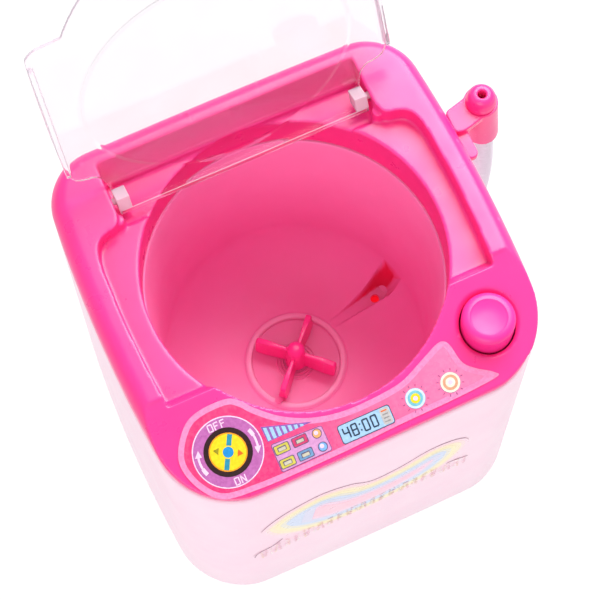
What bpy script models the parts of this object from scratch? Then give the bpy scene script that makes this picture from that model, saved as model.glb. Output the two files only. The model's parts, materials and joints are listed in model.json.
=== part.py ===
"""Toy top-loading washing machine that cleans make-up brushes.

Lengths are in millimetres and are scaled to metres when a mesh is made.
X is right, Y is back, Z is up. The origin is the middle of the flat underside.
"""
from math import cos, pi, radians, sin, tan

import bmesh
import bpy
from mathutils import Matrix, Vector

MM = 0.001

# ---- housing ----
HALF_W = 48.9
HALF_D = 46.4
FRONT_RADIUS = 17.0
REAR_RADIUS = 12.5
SIDE_BULGE = 0.060          # how much the sides pull in towards the corners
END_BULGE = 0.012
CORNER_STEPS = 6
SIDE_STEPS = 4
WALL = 2.0
GAP = 0.3
SEAM_Z = 93.0               # top of the pale housing
PLATE_T = 2.1
LEDGE_T = 2.0
LEDGE_INSET = 4.5
DECK_LEDGE_Z = 85.7         # top of the ledge that carries the tub's flange
DECK_LEDGE_INSET = 4.0

# ---- top cover ----
COVER_Z = SEAM_Z + GAP
COVER_TOP = 105.2
SEAT_Z = 100.0
SEAT_UNDER = 98.0
HOLE_R = 36.3
HOLE_Y = 0.6
SKIRT_R = 38.2
SKIRT_Z = 88.0
SEAT_HALF_W = 41.9
SEAT_FRONT_Y = -18.5
RIDGE_Y = -20.8             # crest between the seat's ramp and the panel
SHOULDER_Y = 23.8
SHOULDER_X = 33.2
SEAT_REAR_Y = 37.4
REAR_RIM_Y = 41.2
TROUGH_Z = 98.7
TROUGH_Y = (25.5, 36.5)
PANEL_Y = -44.5
PANEL_Z = 96.0
PANEL_DEG = 19.0
PANEL_T = 2.0
POD = (34.5, -31.8)
POD_R = 9.7
POD_Z = 101.6
BUTTON_BORE_R = 6.65
HOOK_PEG = (46.0, 10.4, 94.7)
HOOK_PEG_R = 1.1
KNUCKLE = (33.7, 26.2)      # small rounded post in front of each hinge pin
KNUCKLE_R = 1.5
KNUCKLE_TOP = 103.4

# ---- lid ----
HINGE_Y = 31.0
HINGE_Z = 103.0
LID_LEAN = 24.0             # degrees past vertical in the open rest pose
LID_TOP = 105.6
LID_T = 1.0
LID_HALF_W = 41.2
LID_FRONT_Y = -17.9
LID_TONGUE_R = 37.5
LID_SKIRT_Z = 102.7
LID_SKIRT_END_Y = 18.4
LID_TAB_HALF_W = 32.3
LID_PIN_R = 0.9
LID_PIN_END = 34.6
HINGE_BLOCK = 2.1           # half the side of the clear hinge block

# ---- tub and pulsator ----
TUB_FLANGE_Z = 86.0
TUB_TOP = 87.7
TUB_FLANGE_INSET = 2.5
FLOOR_Z = 22.4
FLOOR_UNDER = 20.7
DRAIN = (26.9, 8.0)
DRAIN_R = 1.2
SCOOP_DEPTH = 1.1
RING_R = (11.8, 13.6)
RING_TOP = 23.7
BLADE_COUNT = 4
BLADE_ANGLE = 47.0
BLADE_R = 11.2
BLADE_T = 2.0
BLADE_Z = (23.2, 30.6)
HUB_TOP = 34.2
SHAFT_R = 1.2

# ---- drive ----
GEAR_MODULE = 0.75
GEAR_TEETH = 30
PINION_TEETH = 10
GEAR_Z = (18.2, 20.3)
MOTOR_ANGLE = 128.0         # direction of the motor seen from the pulsator shaft
MOTOR_R = 12.2
MOTOR_Z = (2.6, 14.4)
BRACKET_Z = (15.9, 17.4)

# ---- battery compartment ----
CELL_R = 7.2
CELL_LEN = 49.2
CELL_Z = 9.7
CELL_Y = (-32.3, -17.3)
WELL_X = 27.9
WELL_Y = (-39.8, -9.8)
WELL_WALL = 1.2
WELL_TOP = 15.0
DOOR_X = 31.2
DOOR_T = 1.0

# ---- button and switch ----
BUTTON_R = 6.35
BUTTON_TOP = 106.8
BUTTON_FLANGE = (7.5, 96.2, 97.6)
SWITCH_Z = (87.95, 93.0)

# ---- drain hose ----
OUTLET_Y = 19.0
OUTLET_Z = 10.0
PIPE_R = 2.5
SPIGOT_X = 49.2             # where the swivelling elbow meets the housing wall
SPIGOT_BEND_R = 5.0
SPIGOT_TOP = (59.6, 19.0, 18.6)
HOSE_R = 3.0
HOSE_ROUTE = ((59.6, 19.0, 18.9), (59.65, 19.0, 23.0), (60.0, 19.0, 30.0), (60.6, 18.95, 38.0),
              (61.0, 18.9, 46.0), (61.1, 18.8, 54.0), (60.9, 18.8, 62.0), (60.4, 18.8, 70.0),
              (59.8, 18.8, 77.0), (59.3, 18.9, 83.0), (58.8, 19.1, 90.0))
NOZZLE_TOP = (58.0, 19.5, 99.6)
NOZZLE_FOOT = (59.3, 18.9, 83.0)
NOZZLE_R = 4.2
NOZZLE_BORE_R = 3.4

WIRE_R = 0.55

ROUND = 24
ROUND_LARGE = 44

COVER_SCREWS = ((-33.0, -33.0), (-34.0, 35.0), (34.0, 35.0), (42.4, -4.0))
BASE_SCREWS = ((-37.6, -36.6), (37.6, -36.6), (-38.6, 38.0), (38.6, 38.0))
BRACKET_POSTS = ((16.0, 6.0), (-22.0, -5.0), (2.0, 26.5))

COLORS = {
    "pale_pink": ((0.95, 0.68, 0.77), 0.35, 0.0),
    "hot_pink": ((0.95, 0.13, 0.42), 0.25, 0.0),
    "tub_pink": ((0.94, 0.20, 0.36), 0.28, 0.0),
    "clear": ((0.92, 0.92, 0.95), 0.10, 0.0),
    "label": ((0.93, 0.25, 0.50), 0.30, 0.0),
    "decal": ((0.98, 0.74, 0.82), 0.35, 0.0),
    "white": ((0.85, 0.84, 0.80), 0.45, 0.0),
    "hose": ((0.90, 0.90, 0.93), 0.35, 0.0),
    "steel": ((0.62, 0.62, 0.64), 0.30, 1.0),
    "brass": ((0.78, 0.60, 0.28), 0.30, 1.0),
    "black": ((0.04, 0.04, 0.045), 0.50, 0.0),
    "cell": ((0.10, 0.22, 0.12), 0.35, 0.0),
    "red": ((0.65, 0.03, 0.03), 0.45, 0.0),
}

for stale in list(bpy.data.objects):
    bpy.data.objects.remove(stale)


# ---------------------------------------------------------------- helpers
def material(key):
    """Return the shared Principled material called key."""
    found = bpy.data.materials.get(key)
    if found:
        return found
    color, roughness, metallic = COLORS[key]
    made = bpy.data.materials.new(key)
    made.use_nodes = True
    shader = made.node_tree.nodes["Principled BSDF"]
    shader.inputs["Base Color"].default_value = (*color, 1.0)
    shader.inputs["Roughness"].default_value = roughness
    shader.inputs["Metallic"].default_value = metallic
    return made


def solid(name, verts, faces, color=None):
    """Make an object from millimetre vertices, with its faces turned outward."""
    mesh = bpy.data.meshes.new(name)
    mesh.from_pydata([Vector(v) * MM for v in verts], [], faces)
    work = bmesh.new()
    work.from_mesh(mesh)
    bmesh.ops.recalc_face_normals(work, faces=work.faces)
    work.to_mesh(mesh)
    work.free()
    obj = bpy.data.objects.new(name, mesh)
    bpy.context.collection.objects.link(obj)
    if color:
        mesh.materials.append(material(color))
    else:
        obj.hide_render = True
        obj.display_type = "WIRE"
    return obj


def loft(name, rings, color=None, looped=False):
    """Skin a stack of equal rings. A looped stack joins its last ring to its first."""
    count = len(rings[0])
    verts = [v for ring in rings for v in ring]
    faces = []
    spans = len(rings) if looped else len(rings) - 1
    for i in range(spans):
        low = i * count
        high = ((i + 1) % len(rings)) * count
        for j in range(count):
            k = (j + 1) % count
            faces.append((low + j, low + k, high + k, high + j))
    if not looped:
        faces.append(tuple(range(count)))
        faces.append(tuple(range(len(verts) - count, len(verts))))
    return solid(name, verts, faces, color)


def outline(inset=0.0, z=0.0):
    """The housing's plan: a rounded rectangle whose sides bow outward."""
    half_w = HALF_W - inset
    half_d = HALF_D - inset
    corners = (
        (1, -1, FRONT_RADIUS, -90),
        (1, 1, REAR_RADIUS, 0),
        (-1, 1, REAR_RADIUS, 90),
        (-1, -1, FRONT_RADIUS, 180),
    )
    points = []
    for sx, sy, radius, start in corners:
        r = max(radius - inset, 1.0)
        cx = sx * (half_w - r)
        cy = sy * (half_d - r)
        for i in range(CORNER_STEPS + 1):
            a = radians(start + 90.0 * i / CORNER_STEPS)
            points.append((cx + r * cos(a), cy + r * sin(a)))
    dense = []
    for i, (x0, y0) in enumerate(points):
        x1, y1 = points[(i + 1) % len(points)]
        is_side = (i + 1) % (CORNER_STEPS + 1) == 0
        steps = SIDE_STEPS if is_side else 1
        for s in range(steps):
            t = s / steps
            dense.append((x0 + (x1 - x0) * t, y0 + (y1 - y0) * t))
    bowed = []
    for x, y in dense:
        bowed.append((x * (1 - SIDE_BULGE * (y / half_d) ** 2),
                      y * (1 - END_BULGE * (x / half_w) ** 2), z))
    return bowed


def prism(name, plan, z0, z1, color=None):
    """Extrude a plan polygon from z0 to z1."""
    return loft(name, [[(x, y, z0) for x, y in plan], [(x, y, z1) for x, y in plan]], color)


def box(name, low, high, color=None):
    """A block between two corners."""
    plan = ((low[0], low[1]), (high[0], low[1]), (high[0], high[1]), (low[0], high[1]))
    return prism(name, plan, low[2], high[2], color)


def side_prism(name, profile, x0, x1, color=None):
    """Extrude a polygon of (y, z) points along X."""
    return loft(name, [[(x0, y, z) for y, z in profile], [(x1, y, z) for y, z in profile]], color)


def swept_frames(points):
    """One rotation per path point that takes Z along the path without twisting."""
    frames = []
    basis = None
    for i in range(len(points)):
        before = points[max(i - 1, 0)]
        after = points[min(i + 1, len(points) - 1)]
        along = (after - before).normalized()
        if basis is None:
            basis = along.to_track_quat("Z", "Y").to_matrix()
        else:
            basis = (basis @ Vector((0, 0, 1))).rotation_difference(along).to_matrix() @ basis
        frames.append(basis)
    return frames


def tube(name, path, radii, color=None, sides=16, turn=None):
    """Round solid through path points; radii is one number or one per point."""
    points = [Vector(p) for p in path]
    if not isinstance(radii, (list, tuple)):
        radii = [radii] * len(points)
    frames = [turn] * len(points) if turn else swept_frames(points)
    rings = []
    for p, basis, r in zip(points, frames, radii):
        rings.append([p + basis @ Vector((r * cos(2 * pi * j / sides), r * sin(2 * pi * j / sides), 0))
                      for j in range(sides)])
    return loft(name, rings, color)


def lathe(name, profile, center, color=None, sides=ROUND, axis="Z"):
    """Turn a profile of (radius, along) points about an axis through center.

    A profile whose radii are all above zero makes a ring with a hole.
    """
    turns = {"Z": Matrix.Identity(3), "X": Matrix.Rotation(pi / 2, 3, "Y")}
    basis = turns[axis]
    rings = []
    for j in range(sides):
        a = 2 * pi * j / sides
        rings.append([Vector(center) + basis @ Vector((r * cos(a), r * sin(a), h))
                      for r, h in profile])
    return loft(name, rings, color, looped=True)


def rod(name, center, r, z0, z1, color=None, sides=ROUND):
    """Upright cylinder at a plan position."""
    x, y = center
    plan = [(x + r * cos(2 * pi * j / sides), y + r * sin(2 * pi * j / sides))
            for j in range(sides)]
    return prism(name, plan, z0, z1, color)


def combine(target, other, operation):
    """Add an exact boolean of other to target."""
    change = target.modifiers.new(other.name, "BOOLEAN")
    change.object = other
    change.operation = operation
    change.solver = "EXACT"


def cut(target, *others):
    for other in others:
        combine(target, other, "DIFFERENCE")


def add(target, *others):
    for other in others:
        combine(target, other, "UNION")


def smooth(obj, angle=35.0):
    """Shade smooth everywhere except at edges sharper than the angle."""
    mesh = obj.data
    mesh.polygons.foreach_set("use_smooth", [True] * len(mesh.polygons))
    mesh.set_sharp_from_angle(angle=radians(angle))


def set_origin(obj, point):
    """Move an object's origin to a millimetre point, keeping its shape in place."""
    shift = Vector(point) * MM
    obj.data.transform(Matrix.Translation(-shift))
    obj.location = shift


def panel_z(y, drop=0.0):
    """Height of the sloping front panel at depth y."""
    return PANEL_Z + (y - PANEL_Y) * tan(radians(PANEL_DEG)) - drop


def screw(name, x, y, head_z, head_t, tip_z, head_r=1.9, shank_r=0.85):
    """Self-tapping screw driven upward: head low, point high, cross recess in the head."""
    top = head_z + head_t
    rings = []
    for r, z in ((head_r - 0.3, head_z), (head_r, head_z + 0.3 * head_t), (head_r, top - 0.05),
                 (shank_r, top), (shank_r, tip_z - 1.0), (0.25, tip_z)):
        rings.append([(x + r * cos(2 * pi * j / 10), y + r * sin(2 * pi * j / 10), z)
                      for j in range(10)])
    made = loft(name, rings, "steel")
    slot_half = 0.25
    arm = head_r - 0.7
    deep = head_z + 0.55 * head_t
    cut(made,
        box(name + "_slot_x", (x - arm, y - slot_half, head_z - 1), (x + arm, y + slot_half, deep)),
        box(name + "_slot_y", (x - slot_half, y - arm, head_z - 1), (x + slot_half, y + arm, deep)))
    return made


def gear_plan(center, teeth, phase):
    """Plan of a spur gear with trapezoid teeth; phase is where a tooth points, in degrees."""
    pitch = GEAR_MODULE * teeth / 2
    tip = pitch + 0.85 * GEAR_MODULE
    root = pitch - 1.1 * GEAR_MODULE
    step = 360.0 / teeth
    points = []
    for i in range(teeth):
        mid = phase + i * step
        for r, share in ((root, -0.31), (tip, -0.13), (tip, 0.13), (root, 0.31)):
            a = radians(mid + share * step)
            points.append((center[0] + r * cos(a), center[1] + r * sin(a)))
    return points


# ---------------------------------------------------------------- housing
def build_housing():
    section = ((0.7, 0.0), (0.0, 0.8), (0.0, SEAM_Z), (WALL, SEAM_Z), (WALL, DECK_LEDGE_Z),
               (DECK_LEDGE_INSET, DECK_LEDGE_Z), (DECK_LEDGE_INSET, DECK_LEDGE_Z - LEDGE_T),
               (WALL, DECK_LEDGE_Z - LEDGE_T - 1.5), (WALL, PLATE_T + GAP + LEDGE_T),
               (LEDGE_INSET, PLATE_T + GAP + LEDGE_T), (LEDGE_INSET, PLATE_T + GAP),
               (WALL - 0.5, PLATE_T + GAP), (WALL - 0.5, 0.0))
    body = loft("outer_body", [outline(inset, z) for inset, z in section], "pale_pink", looped=True)
    boss_z = PLATE_T + 2 * GAP
    for i, (x, y) in enumerate(BASE_SCREWS):
        add(body, rod(f"base_boss_{i}", (x, y), 2.9, boss_z, 13.0, sides=20))
    for i, (x, y) in enumerate(BASE_SCREWS):
        cut(body, rod(f"base_boss_bore_{i}", (x, y), 1.15, 1.0, 11.0, sides=12))
    cut(body, tube("outlet_hole", ((40, OUTLET_Y, OUTLET_Z), (55, OUTLET_Y, OUTLET_Z)), 3.0))
    smooth(body)

    emblem = heart_plate()
    smooth(emblem)


def heart_plate():
    """Thin decal in the shape of a wide two-lobed heart over a banner."""
    shape = ((-32.0, 36.0), (-18.0, 40.0), (-3.0, 41.0), (12.0, 40.5), (26.0, 38.0), (27.0, 42.0),
             (24.5, 46.0), (25.5, 55.0), (24.0, 62.0), (19.5, 66.5), (13.0, 67.6), (6.0, 66.2),
             (0.5, 63.8), (-2.2, 62.4), (-6.0, 66.0), (-12.0, 69.6), (-20.0, 71.0), (-26.5, 68.6),
             (-29.8, 62.0), (-29.6, 53.0), (-27.5, 46.0), (-32.5, 40.0))
    y_back = -HALF_D - 0.08
    return loft("front_emblem", [[(x, y, z) for x, z in shape] for y in (y_back, y_back - 0.25)],
                "decal")


# ---------------------------------------------------------------- base
def build_base():
    plate = loft("base_plate", [outline(WALL + 0.1, z) for z in (0.0, PLATE_T)], "pale_pink")
    outer = (WELL_X + WELL_WALL, WELL_Y[0] - WELL_WALL, WELL_Y[1] + WELL_WALL)
    add(plate, box("well_block", (-outer[0], outer[1], 0.5), (outer[0] + 2.4, outer[2], WELL_TOP)))
    cut(plate,
        box("well_space", (-WELL_X, WELL_Y[0], DOOR_T + GAP + 0.1), (WELL_X, WELL_Y[1], 20.0)),
        box("well_mouth", (-WELL_X, WELL_Y[0], -1.0), (WELL_X, WELL_Y[1], 5.0)),
        box("door_recess", (-DOOR_X - GAP, WELL_Y[0], -1.0), (DOOR_X + GAP, WELL_Y[1], DOOR_T + GAP)),
        rod("door_screw_bore", (29.6, -25.0), 1.15, 0.0, 9.0, sides=12))
    for i, (x, y) in enumerate(BASE_SCREWS):
        cut(plate, rod(f"base_hole_{i}", (x, y), 1.3, -1.0, 4.0, sides=16),
            rod(f"base_sink_{i}", (x, y), 2.4, -1.0, 1.45, sides=16))
    for i, (x, y) in enumerate(BASE_SCREWS):
        smooth(screw(f"base_screw_{i + 1}", x, y, 0.25, 1.0, 9.5))
    add(plate, lathe("motor_ring", ((MOTOR_R + 0.35, 1.5), (MOTOR_R + 1.4, 1.5), (MOTOR_R + 1.4, 6.0),
                                    (MOTOR_R + 0.35, 6.0)), (*motor_axis(), 0.0)))

    door = box("battery_door", (-DOOR_X, WELL_Y[0] + 0.35, 0.0), (DOOR_X, WELL_Y[1] - 0.35, DOOR_T),
               "pale_pink")
    cut(door, rod("door_hole", (29.6, -25.0), 1.2, -1.0, 3.0, sides=16))
    for i in range(5):
        x = -24.0 + 2.4 * i
        cut(door, box(f"grip_{i}", (x, -31.0, -1.0), (x + 1.2, -19.0, 0.35)))
    cut(door, rod("door_sink", (29.6, -25.0), 1.55, -1.0, 0.55, sides=16))
    smooth(screw("battery_door_screw", 29.6, -25.0, 0.1, 0.4, 7.5, head_r=1.4))

    for label, y, flip in (("front", CELL_Y[0], 1), ("rear", CELL_Y[1], -1)):
        half = CELL_LEN / 2
        profile = ((0.0, -half), (CELL_R - 0.5, -half), (CELL_R, -half + 0.5), (CELL_R, half - 0.5),
                   (CELL_R - 0.5, half), (2.7, half), (2.7, half + 1.2), (0.0, half + 1.2))
        path = [(flip * along, y, CELL_Z) for _, along in profile[1:-1]]
        radii = [r for r, _ in profile[1:-1]]
        cell = tube(f"battery_cell_{label}", path, radii, "cell", sides=24,
                    turn=Matrix.Rotation(pi / 2, 3, "Y"))
        smooth(cell)
        plate_x = flip * (WELL_X - 0.25)
        back_x = flip * (WELL_X - 0.65)
        low, high = sorted((plate_x, back_x))
        box(f"contact_plate_{label}", (low, y - 5.0, 4.0), (high, y + 5.0, 14.0), "brass")
        smooth(contact_spring(f"contact_spring_{label}", -flip, y))


def contact_spring(name, side, y):
    """Conical coil that presses on a cell's flat end, standing off the well's end wall."""
    turns = 2.5
    steps = 20
    start_x = WELL_X - 0.65
    length = start_x - CELL_LEN / 2 - 0.7
    path = []
    for i in range(steps + 1):
        t = i / steps
        a = 2 * pi * turns * t
        r = 4.2 - 1.8 * t
        path.append((side * (start_x - length * t), y + r * cos(a), CELL_Z + r * sin(a)))
    return tube(name, path, 0.35, "steel", sides=5)


# ---------------------------------------------------------------- drive
def motor_axis():
    """Plan position of the motor shaft, one gear centre distance from the pulsator shaft."""
    distance = GEAR_MODULE * (GEAR_TEETH + PINION_TEETH) / 2
    a = radians(MOTOR_ANGLE)
    return (distance * cos(a), HOLE_Y + distance * sin(a))


def build_drive():
    mx, my = motor_axis()
    low, high = MOTOR_Z
    can = lathe("motor_can", ((MOTOR_R - 6.0, low + 1.4), (MOTOR_R, low + 1.4), (MOTOR_R, high - 0.6),
                              (MOTOR_R - 0.6, high), (4.0, high), (4.0, high + 0.9), (1.4, high + 0.9),
                              (1.4, high - 3.0), (MOTOR_R - 6.0, high - 3.0)),
                (mx, my, 0.0), "steel")
    smooth(can)
    cap = rod("motor_end_cap", (mx, my), MOTOR_R - 0.8, low, low + 1.1, "white")
    smooth(cap)
    spindle = rod("motor_shaft", (mx, my), 1.0, high - 2.6, GEAR_Z[1] - 0.2, "steel", sides=16)
    smooth(spindle)
    set_origin(spindle, (mx, my, high))

    pinion = prism("motor_pinion", gear_plan((mx, my), PINION_TEETH, MOTOR_ANGLE + 180.0),
                   GEAR_Z[0], GEAR_Z[1], "white")
    cut(pinion, rod("pinion_bore", (mx, my), 1.04, 10.0, 25.0, sides=16))
    set_origin(pinion, (mx, my, GEAR_Z[0]))

    half_tooth = 180.0 / GEAR_TEETH
    wheel = prism("drive_gear", gear_plan((0.0, HOLE_Y), GEAR_TEETH, MOTOR_ANGLE + half_tooth),
                  GEAR_Z[0], GEAR_Z[1], "white")
    cut(wheel, rod("gear_bore", (0.0, HOLE_Y), SHAFT_R + 0.04, 10.0, 25.0, sides=16))
    for i in range(4):
        a = pi / 4 + pi / 2 * i
        cut(wheel, rod(f"gear_window_{i}", (6.2 * cos(a), HOLE_Y + 6.2 * sin(a)), 2.4, 10, 25, sides=10))
    set_origin(wheel, (0.0, HOLE_Y, GEAR_Z[0]))

    shaft = rod("pulsator_shaft", (0.0, HOLE_Y), SHAFT_R, 14.9, 31.0, "steel", sides=16)
    smooth(shaft)
    set_origin(shaft, (0.0, HOLE_Y, FLOOR_Z))

    plan = [(8.0, -5.0), (19.5, 1.0), (19.5, 9.5), (6.0, 29.5), (-3.0, 30.5), (-24.5, 0.5),
            (-24.5, -8.5), (-8.0, -7.5)]
    bracket = prism("motor_bracket", plan, BRACKET_Z[0], BRACKET_Z[1], "white")
    for i, post in enumerate(BRACKET_POSTS):
        add(bracket, rod(f"bracket_post_{i}", post, 2.6, BRACKET_Z[0] + 0.4, FLOOR_UNDER - GAP, sides=16))
    for i, post in enumerate(BRACKET_POSTS):
        cut(bracket, rod(f"bracket_bore_{i}", post, 1.1, 10.0, 25.0, sides=12))
        smooth(screw(f"bracket_screw_{i + 1}", *post, 14.5, 1.1, 21.2, head_r=1.8, shank_r=0.8))
    cut(bracket, rod("shaft_bearing", (0.0, HOLE_Y), SHAFT_R + 0.05, 10.0, 25.0, sides=16),
        rod("spindle_hole", (mx, my), 1.6, 10.0, 25.0, sides=16))


# ---------------------------------------------------------------- tub
def build_tub():
    wall = ((34.9, TUB_TOP), (34.4, 62.0), (33.8, 34.0), (33.0, 28.6), (31.4, 24.9), (29.0, 22.9),
            (26.0, FLOOR_Z), (RING_R[1], FLOOR_Z), (RING_R[1], RING_TOP - 0.3),
            (RING_R[1] - 0.5, RING_TOP), (RING_R[0] + 0.4, RING_TOP), (RING_R[0], RING_TOP - 0.4),
            (RING_R[0], FLOOR_Z - 0.1), (6.0, FLOOR_Z - 0.1), (6.0, FLOOR_Z + 0.4), (4.9, FLOOR_Z + 0.4),
            (4.9, FLOOR_Z), (2.6, FLOOR_Z), (2.6, FLOOR_UNDER), (26.0, FLOOR_UNDER), (30.0, 21.3),
            (33.0, 23.6), (34.9, 27.8), (35.6, 34.0), (36.4, 62.0), (36.9, TUB_FLANGE_Z + 0.4),
            (36.9, TUB_TOP))
    tub = lathe("tub", wall, (0.0, HOLE_Y, 0.0), "tub_pink", sides=ROUND_LARGE)
    flange = loft("tub_flange", [outline(TUB_FLANGE_INSET, z) for z in (TUB_FLANGE_Z, TUB_TOP - 0.1)])
    cut(flange, rod("flange_opening", (0.0, HOLE_Y), 36.0, 80.0, 92.0, sides=ROUND_LARGE))
    for i, (x, y) in enumerate(COVER_SCREWS):
        cut(flange, rod(f"flange_hole_{i}", (x, y), 1.25, 80.0, 92.0, sides=12))
    add(tub, flange)
    cut(tub, drain_scoop(), rod("drain_hole", DRAIN, DRAIN_R, 15.0, 26.0, sides=16))
    for i, (x, y) in enumerate(BRACKET_POSTS):
        cut(tub, rod(f"tub_pilot_{i}", (x, y), 1.0, FLOOR_UNDER - 1.0, FLOOR_UNDER + 0.8, sides=12))
    smooth(tub)

    seal = lathe("shaft_seal", ((SHAFT_R + 0.06, 20.6), (2.3, 20.6), (2.3, 23.0), (SHAFT_R + 0.06, 23.0)),
                 (0.0, HOLE_Y, 0.0), "black", sides=20)
    smooth(seal)


def drain_scoop():
    """Teardrop channel in the tub floor, deepest at the drain hole."""
    rings = []
    inner = Vector((14.5, 6.8))
    outer = Vector((DRAIN[0] + 1.6, DRAIN[1] + 0.9))
    along = (outer - inner).normalized()
    across = Vector((-along.y, along.x))
    steps = 6
    for i in range(steps + 1):
        t = i / steps
        p = inner.lerp(outer, t)
        half = 1.2 + 2.6 * sin(pi * min(t * 0.62, 1.0))
        depth = SCOOP_DEPTH * min(1.0, 0.35 + t)
        ring = []
        for j in range(9):
            a = pi * j / 8
            side = half * cos(a)
            z = FLOOR_Z - depth * sin(a)
            ring.append((p.x + across.x * side, p.y + across.y * side, z))
        ring.append((p.x - across.x * half, p.y - across.y * half, FLOOR_Z + 3.0))
        ring.append((p.x + across.x * half, p.y + across.y * half, FLOOR_Z + 3.0))
        rings.append(ring)
    return loft("drain_scoop", rings)


def build_pulsator():
    bore_r = SHAFT_R + 0.04
    profile = ((bore_r, BLADE_Z[0]), (4.0, BLADE_Z[0]), (3.7, 25.0), (2.9, 28.0), (2.6, HUB_TOP - 2.0),
               (2.2, HUB_TOP - 0.8), (1.3, HUB_TOP - 0.1), (0.5, HUB_TOP), (0.5, 31.4), (bore_r, 31.4))
    hub = lathe("pulsator", profile, (0.0, HOLE_Y, 0.0), "hot_pink")
    fill = rod("hub_plug", (0.0, HOLE_Y), 0.9, 31.6, HUB_TOP - 0.05)
    add(hub, fill)
    for i in range(BLADE_COUNT):
        a = radians(BLADE_ANGLE + 90.0 * i)
        direction = Vector((cos(a), sin(a)))
        side = Vector((-sin(a), cos(a))) * (BLADE_T / 2)
        rings = []
        for r, low, high in ((1.9, BLADE_Z[0] + 0.3, BLADE_Z[1] + 0.4), (9.6, BLADE_Z[0] + 0.3, BLADE_Z[1]),
                             (10.7, BLADE_Z[0] + 0.5, BLADE_Z[1] - 0.6), (BLADE_R, BLADE_Z[0] + 1.4, BLADE_Z[1] - 2.0)):
            mid = direction * r
            rings.append([(mid.x + side.x, HOLE_Y + mid.y + side.y, low),
                          (mid.x - side.x, HOLE_Y + mid.y - side.y, low),
                          (mid.x - side.x, HOLE_Y + mid.y - side.y, high),
                          (mid.x + side.x, HOLE_Y + mid.y + side.y, high)])
        add(hub, loft(f"blade_{i}", rings))
    smooth(hub, 30.0)
    set_origin(hub, (0.0, HOLE_Y, FLOOR_Z))


# ---------------------------------------------------------------- top cover
def seat_plan():
    """Plan of the lid seat: wide in front, narrower between the two rear shoulders."""
    w = SEAT_HALF_W
    half = [(w - 1.0, RIDGE_Y - 4.0), (w, -10.0), (w + 0.3, 2.0), (w, 14.0), (w - 0.6, 19.5),
            (w - 2.2, 22.6), (w - 4.8, SHOULDER_Y), (SHOULDER_X + 3.0, SHOULDER_Y),
            (SHOULDER_X + 1.2, SHOULDER_Y + 1.0), (SHOULDER_X + 0.2, SHOULDER_Y + 3.4),
            (SHOULDER_X, SEAT_REAR_Y)]
    return half + [(-x, y) for x, y in reversed(half)]


def pod_plan(grow):
    """Plan of the flat button pod: round beside the label, run out past the housing's corner."""
    r = POD_R + grow
    arc = []
    for i in range(17):
        a = radians(85.0 + 180.0 * i / 16)
        arc.append((POD[0] + r * cos(a), POD[1] + r * sin(a)))
    return arc + [(POD[0] + 3.0, -60.0), (60.0, -60.0), (60.0, POD[1] + r - 2.0)]


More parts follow.
